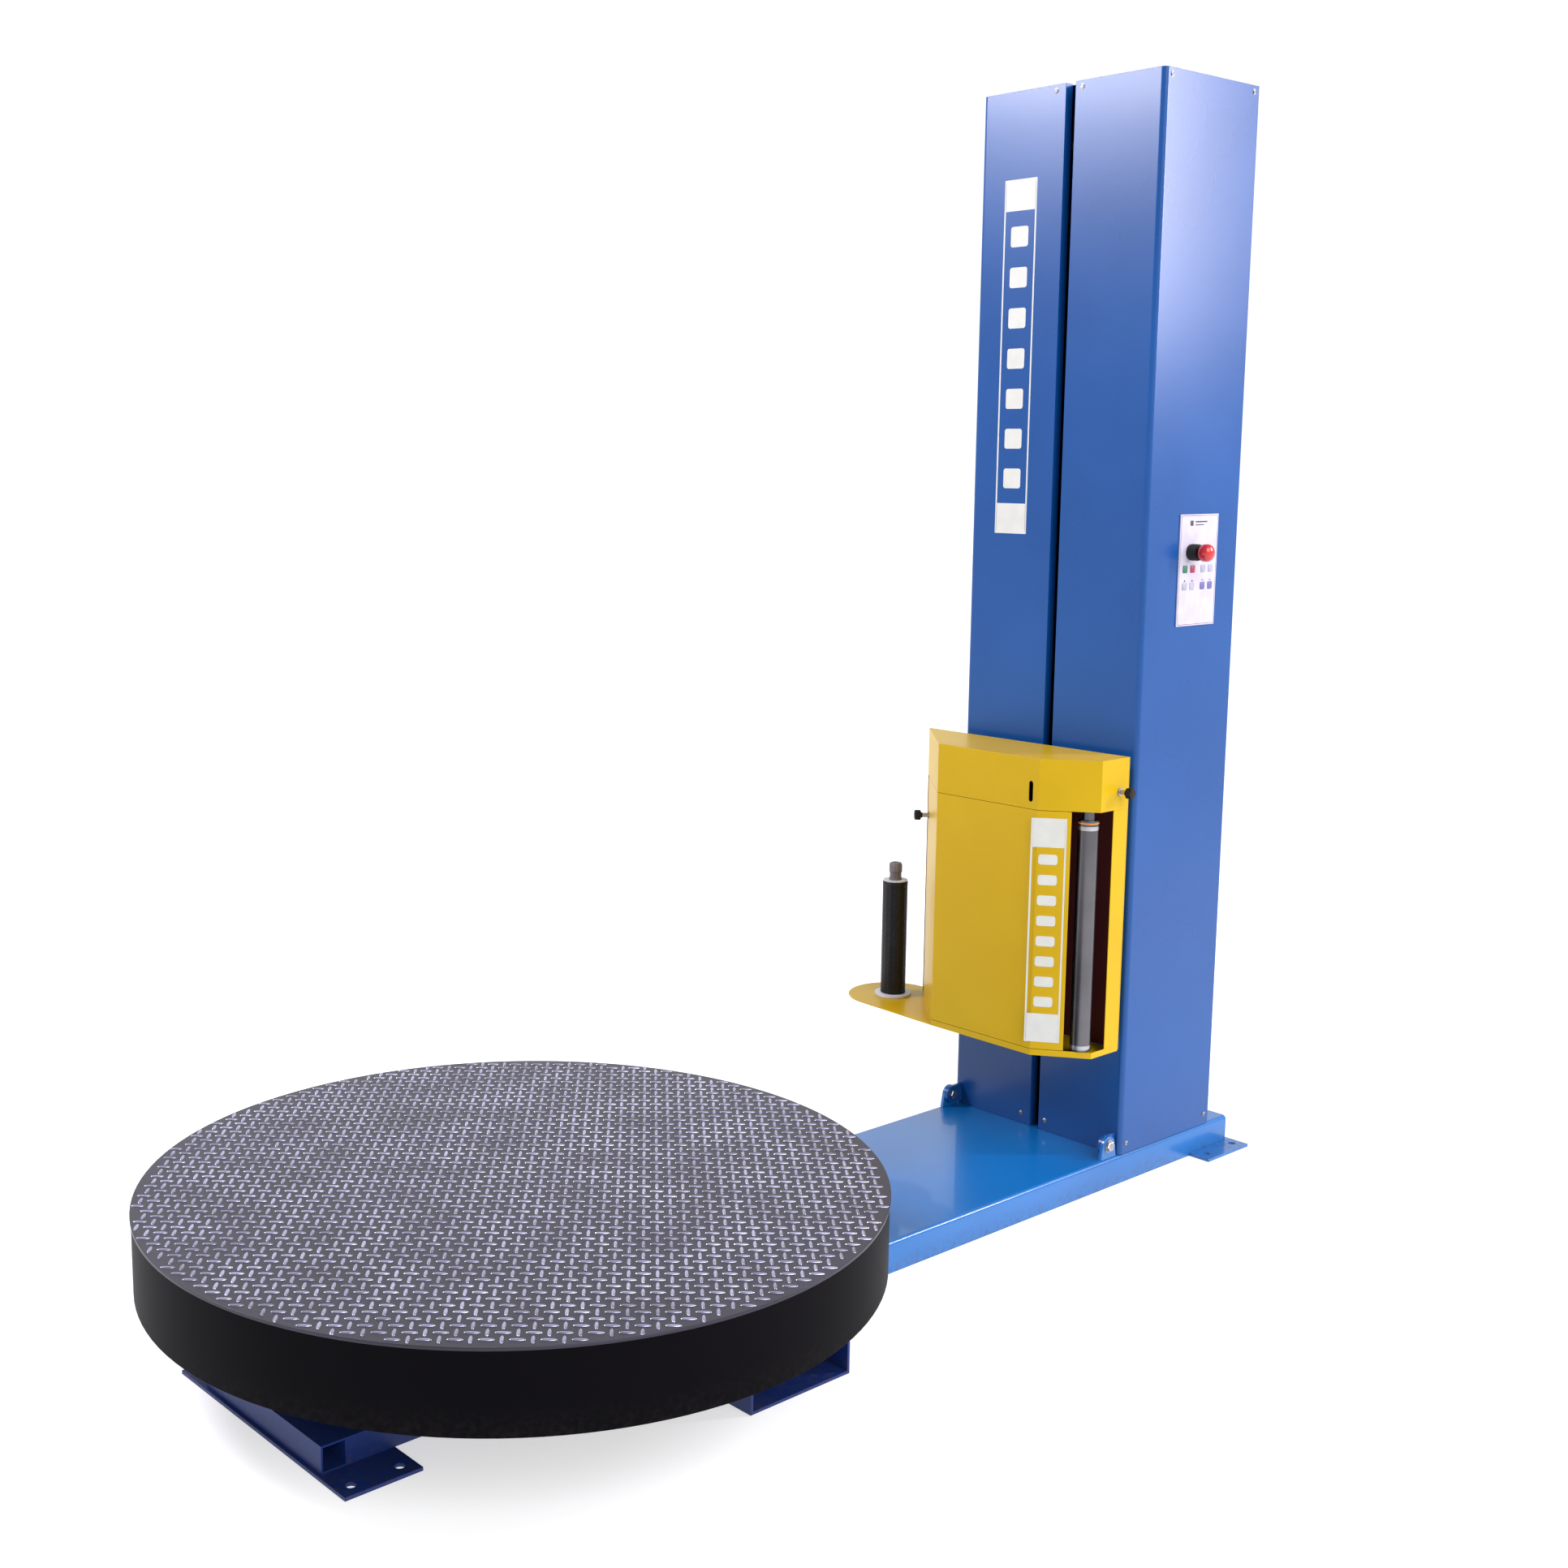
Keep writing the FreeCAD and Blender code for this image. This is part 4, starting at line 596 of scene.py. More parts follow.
def addTransfer(mesh, middle, right, up, width, height, endHigh, bars):
    # a thin frame with a filled block at each end and a column of plain bars between
    thick, line, corner = transfer["thick"], transfer["line"], transfer["corner"]
    outside = roundedOutline(width, height, corner)
    hole = roundedOutline(width - 2 * line, height - 2 * line, corner)
    addPlate(mesh, outside, middle, right, up, thick, hole=hole)
    up = Vector(up)
    block = roundedOutline(width - transfer["endTrim"] * line, endHigh, corner)
    for side in (-1, 1):
        centre = Vector(middle) + up * side * (height / 2 - line - endHigh / 2)
        addPlate(mesh, block, centre, right, up, thick)
    room = (height - 2 * endHigh) / (bars + transfer["endRoom"])
    bar = roundedOutline(width * transfer["barWide"], room * transfer["barHigh"],
                         transfer["barCorner"])
    for number in range(bars):
        centre = Vector(middle) + up * (room * (bars - 1) / 2 - number * room)
        addPlate(mesh, bar, centre, right, up, thick)


def makeMastTransfer():
    low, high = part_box("mast_cover_left")
    y, z = mastTransfer["y"], mastTransfer["z"]
    mesh = bmesh.new()
    addTransfer(mesh, (low.x, (y[0] + y[1]) / 2, (z[0] + z[1]) / 2), (0, -1, 0), (0, 0, 1),
                y[1] - y[0], z[1] - z[0], mastTransfer["endHigh"], mastTransfer["bars"])
    addPiece("mastTransfer", mesh, "printPale", "mast")


def makeDoorTransfer():
    # the door's right-hand chamfer runs from its front kink back to the film window
    hood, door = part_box("carriage_hood"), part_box("film_door")
    start = Vector((hood[0].x, doorTransfer["kink"], 0))
    end = Vector((hood[1].x - doorTransfer["chamferEnd"], hood[0].y, 0))
    along = (end - start).normalized()
    outward = Vector((along.y, -along.x, 0))
    width, z = doorTransfer["wide"], doorTransfer["z"]
    window = (door[0].y - start.y) / along.y
    middle = (start + along * (window - doorTransfer["edge"] - width / 2)
              + outward * doorTransfer["lift"])
    middle.z = (z[0] + z[1]) / 2
    mesh = bmesh.new()
    addTransfer(mesh, middle, along, (0, 0, 1), width, z[1] - z[0], doorTransfer["endHigh"],
                doorTransfer["bars"])
    addPiece("doorTransfer", mesh, "printPale", "door")


makeMastTransfer()
makeDoorTransfer()
print("transfers done")


# Screws, bolts and gland.

screws = {
    "radius": 0.006, "high": 0.003, "gap": 0.0002,
    "shape": [(1, 0.22), (0.86, 0.26), (0.84, 0.6), (0.66, 0.88), (0.34, 1),
              (0.30, 0.45), (0, 0.4)],
    "armMiddle": 0.42, "armLong": 0.3, "armFrom": 0.5, "armHigh": 0.47, "slot": 0.0009,
    "slotCorner": 0.0003, "footRise": 0.026, "topDrop": 0.014, "front": (-0.032, 0.040),
    "edge": 0.024, "backInset": 0.040, "backRows": 4, "backEdge": 0.011}


def addScrew(mesh, spot, outward):
    # pan head with a washer, and a cross of four small blocks round its recess
    radius, high, gap = screws["radius"], screws["high"], screws["gap"]
    profile = [(0, gap), (radius, gap)] + scaled(screws["shape"], radius, high)
    addTurned(mesh, profile, spot, outward, 20)
    arm = roundedOutline(radius * screws["armLong"], screws["slot"], screws["slotCorner"], 2)
    for way in acrossOf(outward):
        other = Vector(outward).cross(way)
        for sign in (-1, 1):
            centre = (Vector(spot) + Vector(outward) * high * screws["armFrom"]
                      + way * sign * radius * screws["armMiddle"])
            addPlate(mesh, arm, centre, way, other, high * screws["armHigh"])


def makeScrews():
    low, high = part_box("mast_cover_right")
    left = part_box("mast_cover_left")[1].y
    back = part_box("mast_back_cover")[1].x
    mesh = bmesh.new()
    for z in (low.z + screws["footRise"], high.z - screws["topDrop"]):
        for y in screws["front"]:
            addScrew(mesh, (low.x, y, z), (-1, 0, 0))
        for x in (low.x + screws["edge"], back - screws["edge"]):
            addScrew(mesh, (x, low.y, z), (0, -1, 0))
            addScrew(mesh, (x, left, z), (0, 1, 0))
    pitch = (high.z - low.z - 2 * screws["backInset"]) / (screws["backRows"] - 1)
    for row in range(screws["backRows"]):
        z = low.z + screws["backInset"] + row * pitch
        for y in (low.y + screws["backEdge"], left - screws["backEdge"]):
            addScrew(mesh, (back, y, z), (1, 0, 0))
    addPiece("coverScrews", mesh, "zinc", "mast", ["cover_screws"], 30)


bolts = {
    "shank": 0.008, "tipTrim": 0.0005, "tipLong": 0.001, "head": 0.0125, "headHigh": 0.009,
    "washer": 0.0155, "washerThick": 0.0016, "washerGap": 0.0001, "nutHigh": 0.006,
    "lugThick": 0.008, "lugGap": 0.0003, "chamfer": 0.0012, "chamferFlare": 1.6}


def addHexagon(mesh, spot, outward, radius, high):
    # hexagon with its top corners turned off
    chamfer = bolts["chamfer"]
    addTurned(mesh, [(radius, 0), (radius, high - chamfer),
                     (radius - chamfer * bolts["chamferFlare"], high), (0, high)],
              spot, outward, 6)


def makeHingeBolts():
    lugs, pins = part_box("base_hinge_lugs"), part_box("hinge_bolts")
    x, z = joints["mast_fold"]["pos_m"][0], joints["mast_fold"]["pos_m"][2]
    shank, washer, thick = bolts["shank"], bolts["washer"], bolts["washerThick"]
    outside = lugs[1].y
    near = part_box("mast_hinge_lugs")[1].y - bolts["lugThick"] - bolts["lugGap"]
    long = pins[1].y - bolts["headHigh"] - near
    mesh = bmesh.new()
    for sign in (-1, 1):
        out = Vector((0, sign, 0))
        addTurned(mesh, [(0, 0), (shank - bolts["tipTrim"], 0), (shank, bolts["tipLong"]),
                         (shank, long), (0, long)], (x, sign * near, z), out, 24)
        addTurned(mesh, [(washer, bolts["washerGap"]), (washer, thick), (0, thick)],
                  (x, sign * outside, z), out, 28)
        addHexagon(mesh, (x, sign * (outside + thick), z), out, bolts["head"],
                   bolts["headHigh"] - thick)
        addHexagon(mesh, (x, sign * near, z), -out, bolts["head"], bolts["nutHigh"])
    addPiece("hingeBolts", mesh, "zinc", "root", ["hinge_bolts"], 30)


gland = {
    "hexShare": 0.98, "hexHigh": 0.008, "neck": [(0.012, 0.008), (0.012, 0.0095)],
    "nut": [(0.0128, 0.0095), (0.0128, 0.018), (0.0112, 0.0225)], "lip": 0.0088,
    "mouth": 0.0056, "bore": 0.0052, "boreFloor": 0.0105, "flutes": 16,
    "fluteDepth": 0.06}


def makeGland():
    low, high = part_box("cable_gland")
    middle = (low + high) / 2
    length = high.x - low.x
    spot, out = (low.x, middle.y, middle.z), (1, 0, 0)
    mouth = [(gland["lip"], length), (gland["mouth"], length),
             (gland["bore"], gland["boreFloor"]), (0, gland["boreFloor"])]
    mesh = bmesh.new()
    addHexagon(mesh, spot, out, (high.y - low.y) / 2 * gland["hexShare"], gland["hexHigh"])
    addTurned(mesh, gland["neck"], spot, out, 32)
    addTurned(mesh, gland["nut"] + mouth, spot, out, 48, gland["flutes"], gland["fluteDepth"])
    addPiece("cableGland", mesh, "blackPlastic", "mast", ["cable_gland"], 30)


makeScrews()
makeHingeBolts()
makeGland()
print("fasteners done")


# Chains.

chains = {
    "pitch": 0.015875, "band": 0.00568, "clear": 0.0006, "width": 0.0095,
    "rollerShare": 0.86, "plateThick": 0.0014, "plateTrim": 0.96, "plateSet": 1.02,
    "plateShare": 0.98, "plateLong": 0.8, "plateCorner": 0.47}


def beltRoute(big, small, distance, pitch):
    # points one pitch apart round two circles, the big one at the origin, the small one along +X
    lean = math.acos((big - small) / distance)
    straight = math.sqrt(distance ** 2 - (big - small) ** 2)
    bigArc, smallArc = big * (math.tau - 2 * lean), small * 2 * lean
    total = 2 * straight + bigArc + smallArc
    count = int(total / pitch / 2) * 2

    def onBig(angle):
        return Vector((big * math.cos(angle), big * math.sin(angle), 0))

    def onSmall(angle):
        return Vector((distance + small * math.cos(angle), small * math.sin(angle), 0))

    route = []
    for number in range(count):
        along = total * number / count
        if along < smallArc:
            route.append(onSmall(-lean + along / small))
            continue
        along -= smallArc
        if along < straight:
            route.append(onSmall(lean).lerp(onBig(lean), along / straight))
            continue
        along -= straight
        if along < bigArc:
            route.append(onBig(lean + along / big))
            continue
        along -= bigArc
        route.append(onBig(-lean).lerp(onSmall(-lean), along / straight))
    return route


def makeChain(name, node, body, place, big, small, distance):
    # roller links along a belt route: pairs of side plates, set in and set out by turns
    band, thick, half = chains["band"], chains["plateThick"], chains["width"] / 2
    mesh = bmesh.new()
    route = beltRoute(big + band / 2, small + band / 2, distance, chains["pitch"])
    normal = place.to_3x3() @ Vector((0, 0, 1))
    roller = band / 2 * chains["rollerShare"]
    for number, point in enumerate(route):
        spot = place @ point
        following = place @ route[(number + 1) % len(route)]
        along = following - spot
        across = normal.cross(along.normalized())
        addTurned(mesh, [(0, -half), (roller, -half), (roller, half), (0, half)], spot, normal, 10)
        inset = thick * (1 + number % 2) * chains["plateSet"]
        outline = roundedOutline(along.length + band * chains["plateLong"],
                                 band * chains["plateShare"], band * chains["plateCorner"], 2)
        for lift in (half - inset, -half + inset - thick):
            addPlate(mesh, outline, (spot + following) / 2 + normal * lift,
                     along.normalized(), across, thick * chains["plateTrim"])
    addPiece(name, mesh, "chainSteel", body, [node], 30)


def makeChains():
    clear = chains["clear"]
    ring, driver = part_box("ring_sprocket"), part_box("drive_sprocket")
    ringMiddle, driverMiddle = (ring[0] + ring[1]) / 2, (driver[0] + driver[1]) / 2
    place = Matrix.Translation(ringMiddle) @ Matrix.Rotation(math.pi, 4, "Z")
    makeChain("driveChain", "drive_chain", "root", place, (ring[1].x - ring[0].x) / 2 + clear,
              (driver[1].x - driver[0].x) / 2 + clear, ringMiddle.x - driverMiddle.x)
    top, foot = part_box("lift_sprocket_top"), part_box("lift_sprocket_foot")
    topMiddle, footMiddle = (top[0] + top[1]) / 2, (foot[0] + foot[1]) / 2
    radius = (top[1].z - top[0].z) / 2 + clear
    upright = Matrix(((0, -1, 0, 0), (0, 0, -1, 0), (1, 0, 0, 0), (0, 0, 0, 1)))
    makeChain("liftChain", "lift_chain", "mast", Matrix.Translation(footMiddle) @ upright,
              radius, radius, topMiddle.z - footMiddle.z)


makeChains()
print("chains done")


# Geared motors.

motors = {
    "radius": 0.045, "long": 0.150, "core": 0.86, "fins": 28,
    "front": [(0, 0.0002), (1, 0.0002), (1, 0.012), (0.86, 0.016)],
    "rear": [(0.86, 0.014), (1, 0.010), (1, 0), (0, 0)],
    "finThick": 0.0016, "finStart": 0.014, "finTrim": 0.026, "finSink": 0.002,
    "finCorner": 0.001, "coverLong": 0.030,
    "coverRim": 0.0002, "cover": [(1, 0.7), (0.93, 0.93), (0.8, 1), (0, 1)],
    "grille": 5, "grilleShare": 0.78, "grilleHalf": 0.0012, "grilleSink": 0.0004,
    "boltHead": 0.0055, "boltSpread": 0.78}


def addMotor(mesh, start, out, coverRadius):
    # finned body, end bells, and a fan cover with a ringed grille
    radius, length = motors["radius"], motors["long"]
    core = radius * motors["core"]
    out = Vector(out)
    body = scaled(motors["front"], radius, 1) + fromTop(motors["rear"], radius, length)
    addTurned(mesh, body, start, out, 40)
    first, second = acrossOf(out)
    finLong = length - motors["finTrim"]
    fin = roundedOutline(radius - core + motors["finSink"], finLong, motors["finCorner"], 2)
    for number in range(motors["fins"]):
        angle = math.tau * (number + 0.5) / motors["fins"]
        ray = first * math.cos(angle) + second * math.sin(angle)
        centre = (Vector(start) + ray * (core + (radius - core) / 2)
                  + out * (motors["finStart"] + finLong / 2))
        addPlate(mesh, fin, centre, ray, out, motors["finThick"])
    begin = Vector(start) + out * length
    addTurned(mesh, [(0, 0), (coverRadius, motors["coverRim"])]
              + scaled(motors["cover"], coverRadius, motors["coverLong"]), begin, out, 40)
    half = motors["grilleHalf"]
    for number in range(1, motors["grille"]):
        middle = coverRadius * motors["grilleShare"] * number / motors["grille"]
        addTurned(mesh, [(middle + half, -motors["grilleSink"]), (middle + half, 0.0),
                         (middle - half, 0.0)], begin + out * motors["coverLong"], out, 32,
                  ring=True)


tableMotor = {
    "boxHigh": 0.110, "soft": 0.008, "ribs": (0.25, 0.5, 0.75), "ribInset": 0.012,
    "ribOut": 0.004, "ribHalf": 0.002, "ribSoft": 0.001, "hub": 0.024,
    "shaft": [(0.024, 0.0125), (0.012, 0.0123), (0.012, 0.001), (0.011, 0), (0, 0)],
    "boltHigh": 0.004, "cover": 0.048,
    "terminal": ((-0.025, 0.03, 0.036), (0.025, 0.09, 0.060)), "terminalSoft": 0.004}


def makeTableMotor():
    look = tableMotor
    low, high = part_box("table_gearmotor")
    half, x = (high.x - low.x) / 2, (low.x + high.x) / 2
    boxTop = low.z + look["boxHigh"]
    mesh = bmesh.new()
    addBlock(mesh, low, (high.x, -low.y, boxTop), look["soft"])
    for level in look["ribs"]:
        z = low.z + (boxTop - low.z) * level
        addBlock(mesh, (low.x + look["ribInset"], low.y, z - look["ribHalf"]),
                 (high.x - look["ribInset"], low.y + look["ribOut"], z + look["ribHalf"]),
                 look["ribSoft"])
    addTurned(mesh, [(look["hub"], 0)] + fromTop(look["shaft"], 1, high.z - boxTop),
              (x, 0, boxTop), (0, 0, 1), 32)
    spread = half * motors["boltSpread"]
    for dx in (-spread, spread):
        for dy in (-spread, spread):
            addHexagon(mesh, (x + dx, dy, boxTop), (0, 0, 1), motors["boltHead"],
                       look["boltHigh"])
    start = Vector((x, -low.y, low.z + half))
    addMotor(mesh, start, (0, 1, 0), look["cover"])
    near, far = look["terminal"]
    addBlock(mesh, start + Vector(near), start + Vector(far), look["terminalSoft"])
    addPiece("tableMotor", mesh, "motorGrey", "root", ["table_gearmotor"])


liftMotor = {
    "soft": 0.008, "shaft": 0.012, "tip": [(0, 0), (0.011, 0), (0.012, 0.001)],
    "reach": 0.0483,
    "cover": 0.0475, "terminal": ((0.036, -0.02, -0.09), (0.052, 0.02, -0.03)),
    "terminalSoft": 0.003, "boltRows": (0.22, 1.78), "boltSink": 0.0002,
    "boltHigh": 0.0018}


def makeLiftMotor():
    look = liftMotor
    low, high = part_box("lift_gearmotor")
    half, x = (high.x - low.x) / 2, (low.x + high.x) / 2
    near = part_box("mast_column")[1].y
    boxLow = high.z - 2 * half
    mesh = bmesh.new()
    addBlock(mesh, (low.x, near, boxLow), high, look["soft"])
    addTurned(mesh, look["tip"] + [(look["shaft"], near - low.y)],
              (x, low.y, boxLow + half), (0, 1, 0), 24)
    start = Vector((x, near + look["reach"], boxLow))
    addMotor(mesh, start, (0, 0, -1), look["cover"])
    low, far = look["terminal"]
    addBlock(mesh, start + Vector(low), start + Vector(far), look["terminalSoft"])
    spread = half * motors["boltSpread"]
    for dx in (-spread, spread):
        for dz in look["boltRows"]:
            addHexagon(mesh, (x + dx, high.y - look["boltSink"], boxLow + half * dz),
                       (0, 1, 0), motors["boltHead"], look["boltHigh"])
    addPiece("liftMotor", mesh, "motorGrey", "mast", ["lift_gearmotor"])


makeTableMotor()
makeLiftMotor()
print("motors done")


# Control panel. A mark is (across, drop from the top, width, height, corner).

panel = {
    "border": 0.006, "line": 0.0008, "corner": 0.004, "innerCorner": 0.0035,
    "printThick": 0.0002, "legendRise": 0.0125,
    "marks": [(-0.030, 0.020, 0.012, 0.012, 0.002), (0.006, 0.017, 0.046, 0.003, 0.001),
              (0, 0.024, 0.034, 0.002, 0.0008)],
    "arrow": [(0.0035, -0.002), (0, 0.003), (-0.0035, -0.002)],
    "dash": (0.008, 0.0016, 0.0006),
    "keySize": 0.0172, "keyCorner": 0.003, "keyHigh": 0.0012, "keyCrown": 0.0005,
    "columns": (0, 0.029, 0.069, 0.098),
    "keys": {"keyGreen": [(0, 0)], "keyRed": [(1, 0)],
             "keyPale": [(2, 0), (3, 0), (0, 1), (1, 1)], "keyViolet": [(2, 1), (3, 1)]}}


def makePanel():
    low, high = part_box("control_panel")
    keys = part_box("keypad")
    right, up, thick = (1, 0, 0), (0, 0, 1), panel["printThick"]
    middle = (low.x + high.x) / 2
    wide, tall = high.x - low.x - panel["border"], high.z - low.z - panel["border"]
    mesh = bmesh.new()
    hole = roundedOutline(wide - 2 * panel["line"], tall - 2 * panel["line"],
                          panel["innerCorner"])
    addPlate(mesh, roundedOutline(wide, tall, panel["corner"]),
             (middle, low.y, (low.z + high.z) / 2), right, up, thick, hole=hole)
    for across, drop, width, height, corner in panel["marks"]:
        addPlate(mesh, roundedOutline(width, height, corner),
                 (middle + across, low.y, high.z - drop), right, up, thick)
    half = panel["keySize"] / 2
    columns = [keys[0].x + half + step for step in panel["columns"]]
    rows = [keys[1].z - half, keys[0].z + half]
    legends = [panel["arrow"]] * 2 + [roundedOutline(*panel["dash"])] * 2
    for x, outline in zip(columns, legends):
        addPlate(mesh, outline, (x, low.y, rows[1] + panel["legendRise"]), right, up, thick)
    addPiece("panelPrint", mesh, "printDark", "mast")
    outline = roundedOutline(panel["keySize"], panel["keySize"], panel["keyCorner"])
    for finish, spots in panel["keys"].items():
        mesh = bmesh.new()
        for column, row in spots:
            addPlate(mesh, outline, (columns[column], low.y, rows[row]), right, up,
                     panel["keyHigh"], crown=panel["keyCrown"])
        stands = ["keypad"] if finish == "keyGreen" else ()
        addPiece(finish + "s", mesh, finish, "mast", stands)


stop = {
    "long": 0.028, "stem": 0.0078, "stemEnd": 0.001,
    "head": [(0.62, 0.002), (0.9, 0.0015), (1, 0.005), (1, 0.011), (0.97, 0.017),
             (0.85, 0.022), (0.62, 0.0258), (0.34, 0.0274)],
    "ribs": 3, "ribPitch": 0.006,
    "rib": [(-0.0002, 0.004), (0.0009, 0.005), (0.0009, 0.007), (-0.0002, 0.008)]}


def makeStop():
    low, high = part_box("estop_head")
    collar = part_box("estop_collar")
    x, z = (low.x + high.x) / 2, (low.z + high.z) / 2
    radius, long = (high.x - low.x) / 2, stop["long"]
    sunk = -(high.y - low.y - long)
    mesh = bmesh.new()
    addTurned(mesh, [(0, sunk), (stop["stem"], sunk), (stop["stem"], stop["stemEnd"])]
              + scaled(stop["head"], radius, 1) + [(0, long)],
              (x, low.y + long, z), (0, -1, 0), 48)
    addPiece("stopHead", mesh, "stopRed", "estop", ["estop_head"], 42)
    mesh = bmesh.new()
    outer = (collar[1].x - collar[0].x) / 2
    for number in range(stop["ribs"]):
        addTurned(mesh, [(outer + out, along + number * stop["ribPitch"])
                         for out, along in stop["rib"]],
                  (x, collar[0].y, z), (0, 1, 0), 40, ring=True)
    addPiece("stopCollarRibs", mesh, "blackPlastic", "mast")


makePanel()
makeStop()
print("controls done")


# Knobs, spindle and rollers.

knob = {
    "grip": 0.013, "long": 0.020, "stick": 0.016, "lobes": 6, "lobeDepth": 0.12,
    "shape": [(0, 0), (0.5, 0), (0.56, 0.16), (0.96, 0.24), (1, 0.36), (1, 0.82),
              (0.9, 0.95), (0.6, 1), (0, 1)],
    "shank": [(0, -0.004), (0.005, -0.004), (0.005, 0.0006), (0.009, 0.0006),
              (0.009, 0.0026), (0.0055, 0.0032), (0.0055, 0.016), (0, 0.016)]}


def makeKnob(name, node, body, joint, surface):
    out = Vector(joints[joint]["axis"]).normalized()
    face = Vector(joints[joint]["pos_m"])
    face += out * (surface - face).dot(out)
    mesh = bmesh.new()
    addTurned(mesh, knob["shank"], face, out, 28)
    addPiece(name + "Shank", mesh, "zinc", body)
    mesh = bmesh.new()
    addTurned(mesh, scaled(knob["shape"], knob["grip"], knob["long"]),
              face + out * knob["stick"], out, 48, knob["lobes"], knob["lobeDepth"])
    addPiece(name + "Grip", mesh, "blackPlastic", body, [node], 42)


def makeKnobs():
    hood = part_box("carriage_hood")
    makeKnob("tensionKnob", "tension_knob", "tension", "tension_turn",
             Vector((0, hood[0].y, 0)))
    makeKnob("latchKnob", "door_knob", "latch", "latch_turn",
             Vector(joints["latch_turn"]["pos_m"]))


mandrel = {
    "bore": 0.0125, "pitch": 0.0065, "deep": 0.0005, "end": 0.008, "soft": 0.0012,
    "groove": (0.2, 0.4, 0.6), "flutes": 16, "fluteDepth": 0.02}


def makeMandrel():
    # a moulded core tube: fine ribs round it, and shallow flutes along it
    foot, radius, long = uprightBox("film_mandrel")
    bore, soft, pitch = mandrel["bore"], mandrel["soft"], mandrel["pitch"]
    start, floor, end = mandrel["groove"]
    profile = [(bore, 0), (radius - soft, 0), (radius, soft)]
    for number in range(int((long - 2 * mandrel["end"]) / pitch)):
        height = mandrel["end"] + number * pitch
        profile += [(radius, height), (radius - mandrel["deep"], height + pitch * start),
                    (radius - mandrel["deep"], height + pitch * floor),
                    (radius, height + pitch * end)]
    profile += [(radius, long - soft), (radius - soft, long), (bore, long)]
    mesh = bmesh.new()
    addTurned(mesh, profile, foot, (0, 0, 1), 96, mandrel["flutes"], mandrel["fluteDepth"],
              ring=True)
    addPiece("filmMandrel", mesh, "blackPlastic", "spindle",
             ["film_mandrel"], 60)


# the cap's foot is (share of the radius, height), and its head is (share, drop from the top)
cap = {
    "bore": 0.0121, "boreDeep": 0.0302, "flutes": 12, "fluteDepth": 0.05,
    "foot": [(0.98, 0.0), (0.98, 0.004), (0.9, 0.005), (0.9, 0.018), (1, 0.020)],
    "head": [(1, 0.006), (0.86, 0.001), (0.7, 0), (0.34, 0), (0.3, 0.003), (0, 0.003)]}


def makeSpindleCap():
    foot, radius, long = uprightBox("spindle_cap")
    profile = [(0, cap["boreDeep"]), (cap["bore"], cap["boreDeep"]), (cap["bore"], 0.0)]
    profile += scaled(cap["foot"], radius, 1)
    profile += fromTop(cap["head"], radius, long)
    mesh = bmesh.new()
    addTurned(mesh, profile, foot, (0, 0, 1), 48, cap["flutes"], cap["fluteDepth"])
    addPiece("spindleCap", mesh, "greyPlastic", "spindle", ["spindle_cap"], 35)


# each ring is (piece, finish, slot, end of the drum, distance up from that end, height)
rollerRings = {
    "drumGap": 0.001, "drumLong": 0.527, "proud": 0.0004, "edge": 0.0006,
    "rings": [("exitRingFoot", "zinc", "zinc_steel", 0, 0.004, 0.010),
              ("exitRingHead", "zinc", "zinc_steel", 1, -0.022, 0.010),
              ("exitRingColour", "printOrange", "roller_steel", 1, -0.008, 0.004)]}


def makeRollerRings():
    # turned end caps on the roller in the film window, and a coloured ring at its top
    foot, radius, _ = uprightBox("exit_roller")
    proud, edge = rollerRings["proud"], rollerRings["edge"]
    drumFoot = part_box("carriage_floor")[1].z + rollerRings["drumGap"]
    ends = (drumFoot, drumFoot + rollerRings["drumLong"])
    for name, finish, slot, end, rise, tall in rollerRings["rings"]:
        mesh = bmesh.new()
        addTurned(mesh, [(radius - proud, 0), (radius + proud, edge),
                         (radius + proud, tall - edge), (radius - proud, tall)],
                  (foot[0], foot[1], ends[end] + rise), (0, 0, 1), 64, ring=True)
        addPiece(name, mesh, finish, "exit")


makeKnobs()
makeMandrel()
makeSpindleCap()
makeRollerRings()
print("film path done")


# Stage, light and camera.

stage = {
    "floor": 60.0, "floorTop": -0.0005, "floorFoot": -0.02, "floorRough": 0.9,
    "floorGloss": 0.1, "floorTone": tone(206, 206, 208), "floorGlow": 0.55,
    "backdrop": 1.06, "room": 0.55, "backdropBand": (0.3, 0.72),
    "backdropWay": Vector((0.64, 0.76, 0.0)).normalized()}


def makeStage():
    mesh = bmesh.new()
    half = stage["floor"]
    addBlock(mesh, (-half, -half, stage["floorFoot"]), (half, half, stage["floorTop"]))
    data = bpy.data.meshes.new("floor")
    mesh.to_mesh(data)
    mesh.free()
    material, _, shader = startMaterial("floor")
    feed(shader, {"Base Color": stage["floorTone"], "Roughness": stage["floorRough"],
                  "Specular IOR Level": stage["floorGloss"], "Emission Color": (1, 1, 1, 1),
                  "Emission Strength": stage["floorGlow"]})
    data.materials.append(material)
    floor = addObject("floor", data)


def makeRoom():
    # a white backdrop; away from the far side a dimmer room shows, in reflections only
    world = bpy.data.worlds.new("studio")
    bpy.context.scene.world = world
    world.use_nodes = True
    tree = Wire(world.node_tree)
    way = tree.node("TexCoord", {}, {}, "Generated")
    facing = tree.node("VectorMath", {"operation": "DOT_PRODUCT"},
                       {0: way, 1: stage["backdropWay"]}, "Value")
    room, backdrop = [(stage[name],) * 3 + (1,) for name in ("room", "backdrop")]
    around = facing.between(*stage["backdropBand"]).blend(room, backdrop)
    seen = tree.node("LightPath", {}, {}, "Is Camera Ray")
    feed(world.node_tree.nodes["Background"], {"Color": seen.blend(around, backdrop)})


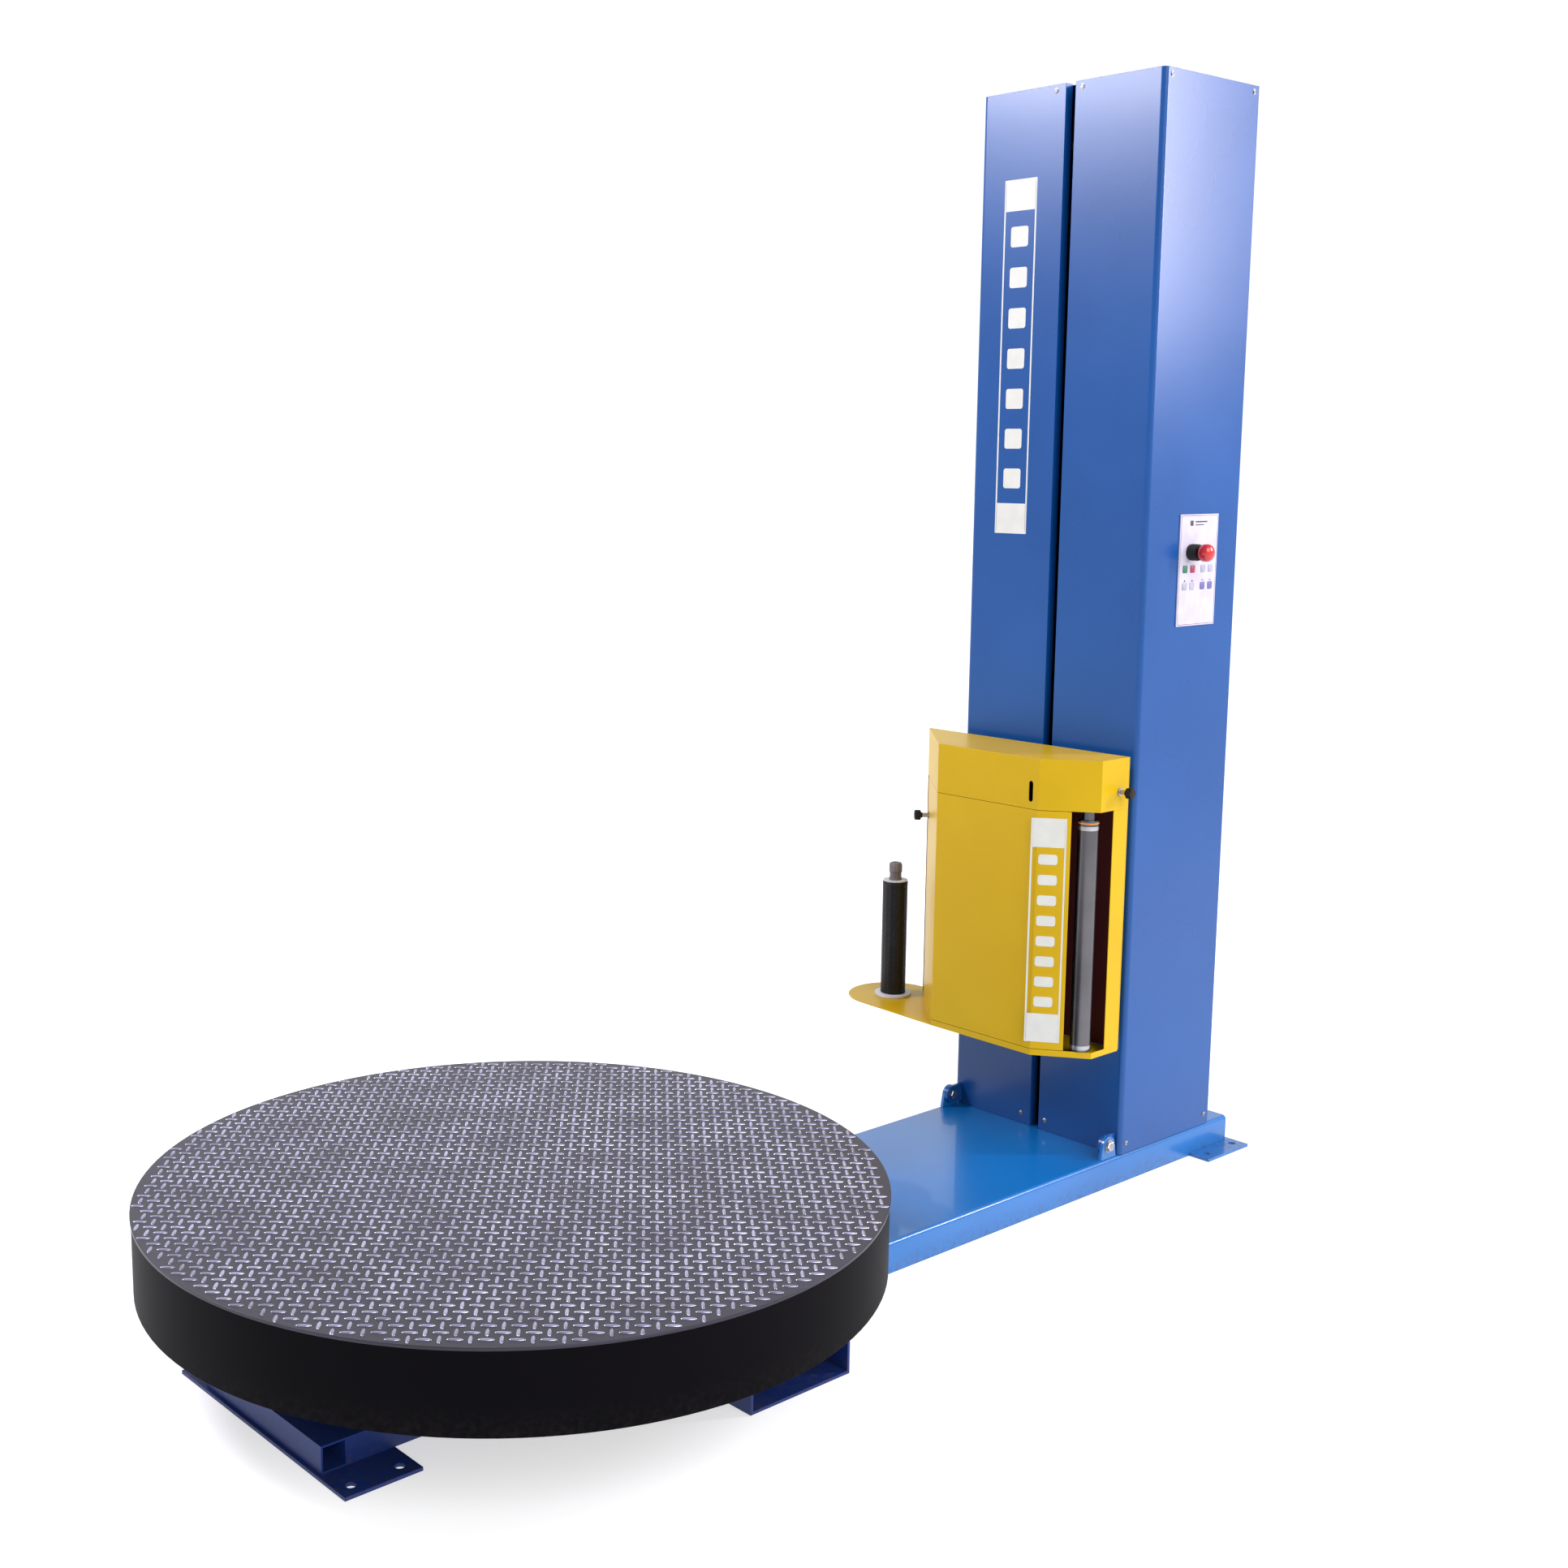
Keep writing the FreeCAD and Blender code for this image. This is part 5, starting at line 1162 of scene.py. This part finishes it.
sun = {"place": (0, 0, 5), "way": (0.12, 0.82, -0.56), "power": 2.5, "spread": math.radians(50)}
lamps = {
    "top": {"place": (-2.9, 3.0, 3.9), "target": (0.9, 0.1, 2.4), "power": 230.0,
            "size": (1.3, 1.3), "colour": (0.93, 0.9, 1.0)},
    "streak": {"place": (4.0, -2.9, 3.1), "target": (0.95, -0.25, 2.1), "power": 150.0,
               "size": (0.35, 2.0), "colour": (0.95, 0.9, 1.0)}}


def addLight(name, kind, settings, place, way):
    lamp = bpy.data.lights.new(name, kind)
    adjust(lamp, settings)
    light = addObject(name, lamp)
    light.location = place
    light.rotation_euler = Vector(way).to_track_quat("-Z", "Y").to_euler()


def makeLights():
    addLight("sun", "SUN", {"energy": sun["power"], "angle": sun["spread"]}, sun["place"],
             sun["way"])
    for name, lamp in lamps.items():
        wide, high = lamp["size"]
        addLight(name, "AREA", {"energy": lamp["power"], "shape": "RECTANGLE", "size": wide,
                                "size_y": high, "color": lamp["colour"]},
                 lamp["place"], Vector(lamp["target"]) - Vector(lamp["place"]))


view = {
    "place": (-2.6675, -2.796, 1.667), "yaw": 40.62, "pitch": 8.92, "roll": 0.29,
    "lens": 44.11, "sensor": 36.0, "shift": (0.0733, -0.0178), "far": 200}


def makeCamera():
    yaw, pitch, roll = [math.radians(view[name]) for name in ("yaw", "pitch", "roll")]
    look = Vector((math.sin(yaw) * math.cos(pitch), math.cos(yaw) * math.cos(pitch),
                   -math.sin(pitch)))
    right = Vector((math.cos(yaw), -math.sin(yaw), 0))
    up = right.cross(look)
    tilted = right * math.cos(roll) + up * math.sin(roll)
    upright = up * math.cos(roll) - right * math.sin(roll)
    data = bpy.data.cameras.new("camera")
    data.sensor_width = view["sensor"]
    data.lens = view["lens"]
    data.shift_x, data.shift_y = view["shift"]
    data.clip_end = view["far"]
    camera = addObject("camera", data)
    turn = Matrix((tilted, upright, -look)).transposed().to_4x4()
    camera.matrix_world = Matrix.Translation(view["place"]) @ turn
    bpy.context.scene.camera = camera


makeStage()
makeRoom()
makeLights()
makeCamera()
bpy.context.scene.view_settings.view_transform = "Standard"
print("stage done")
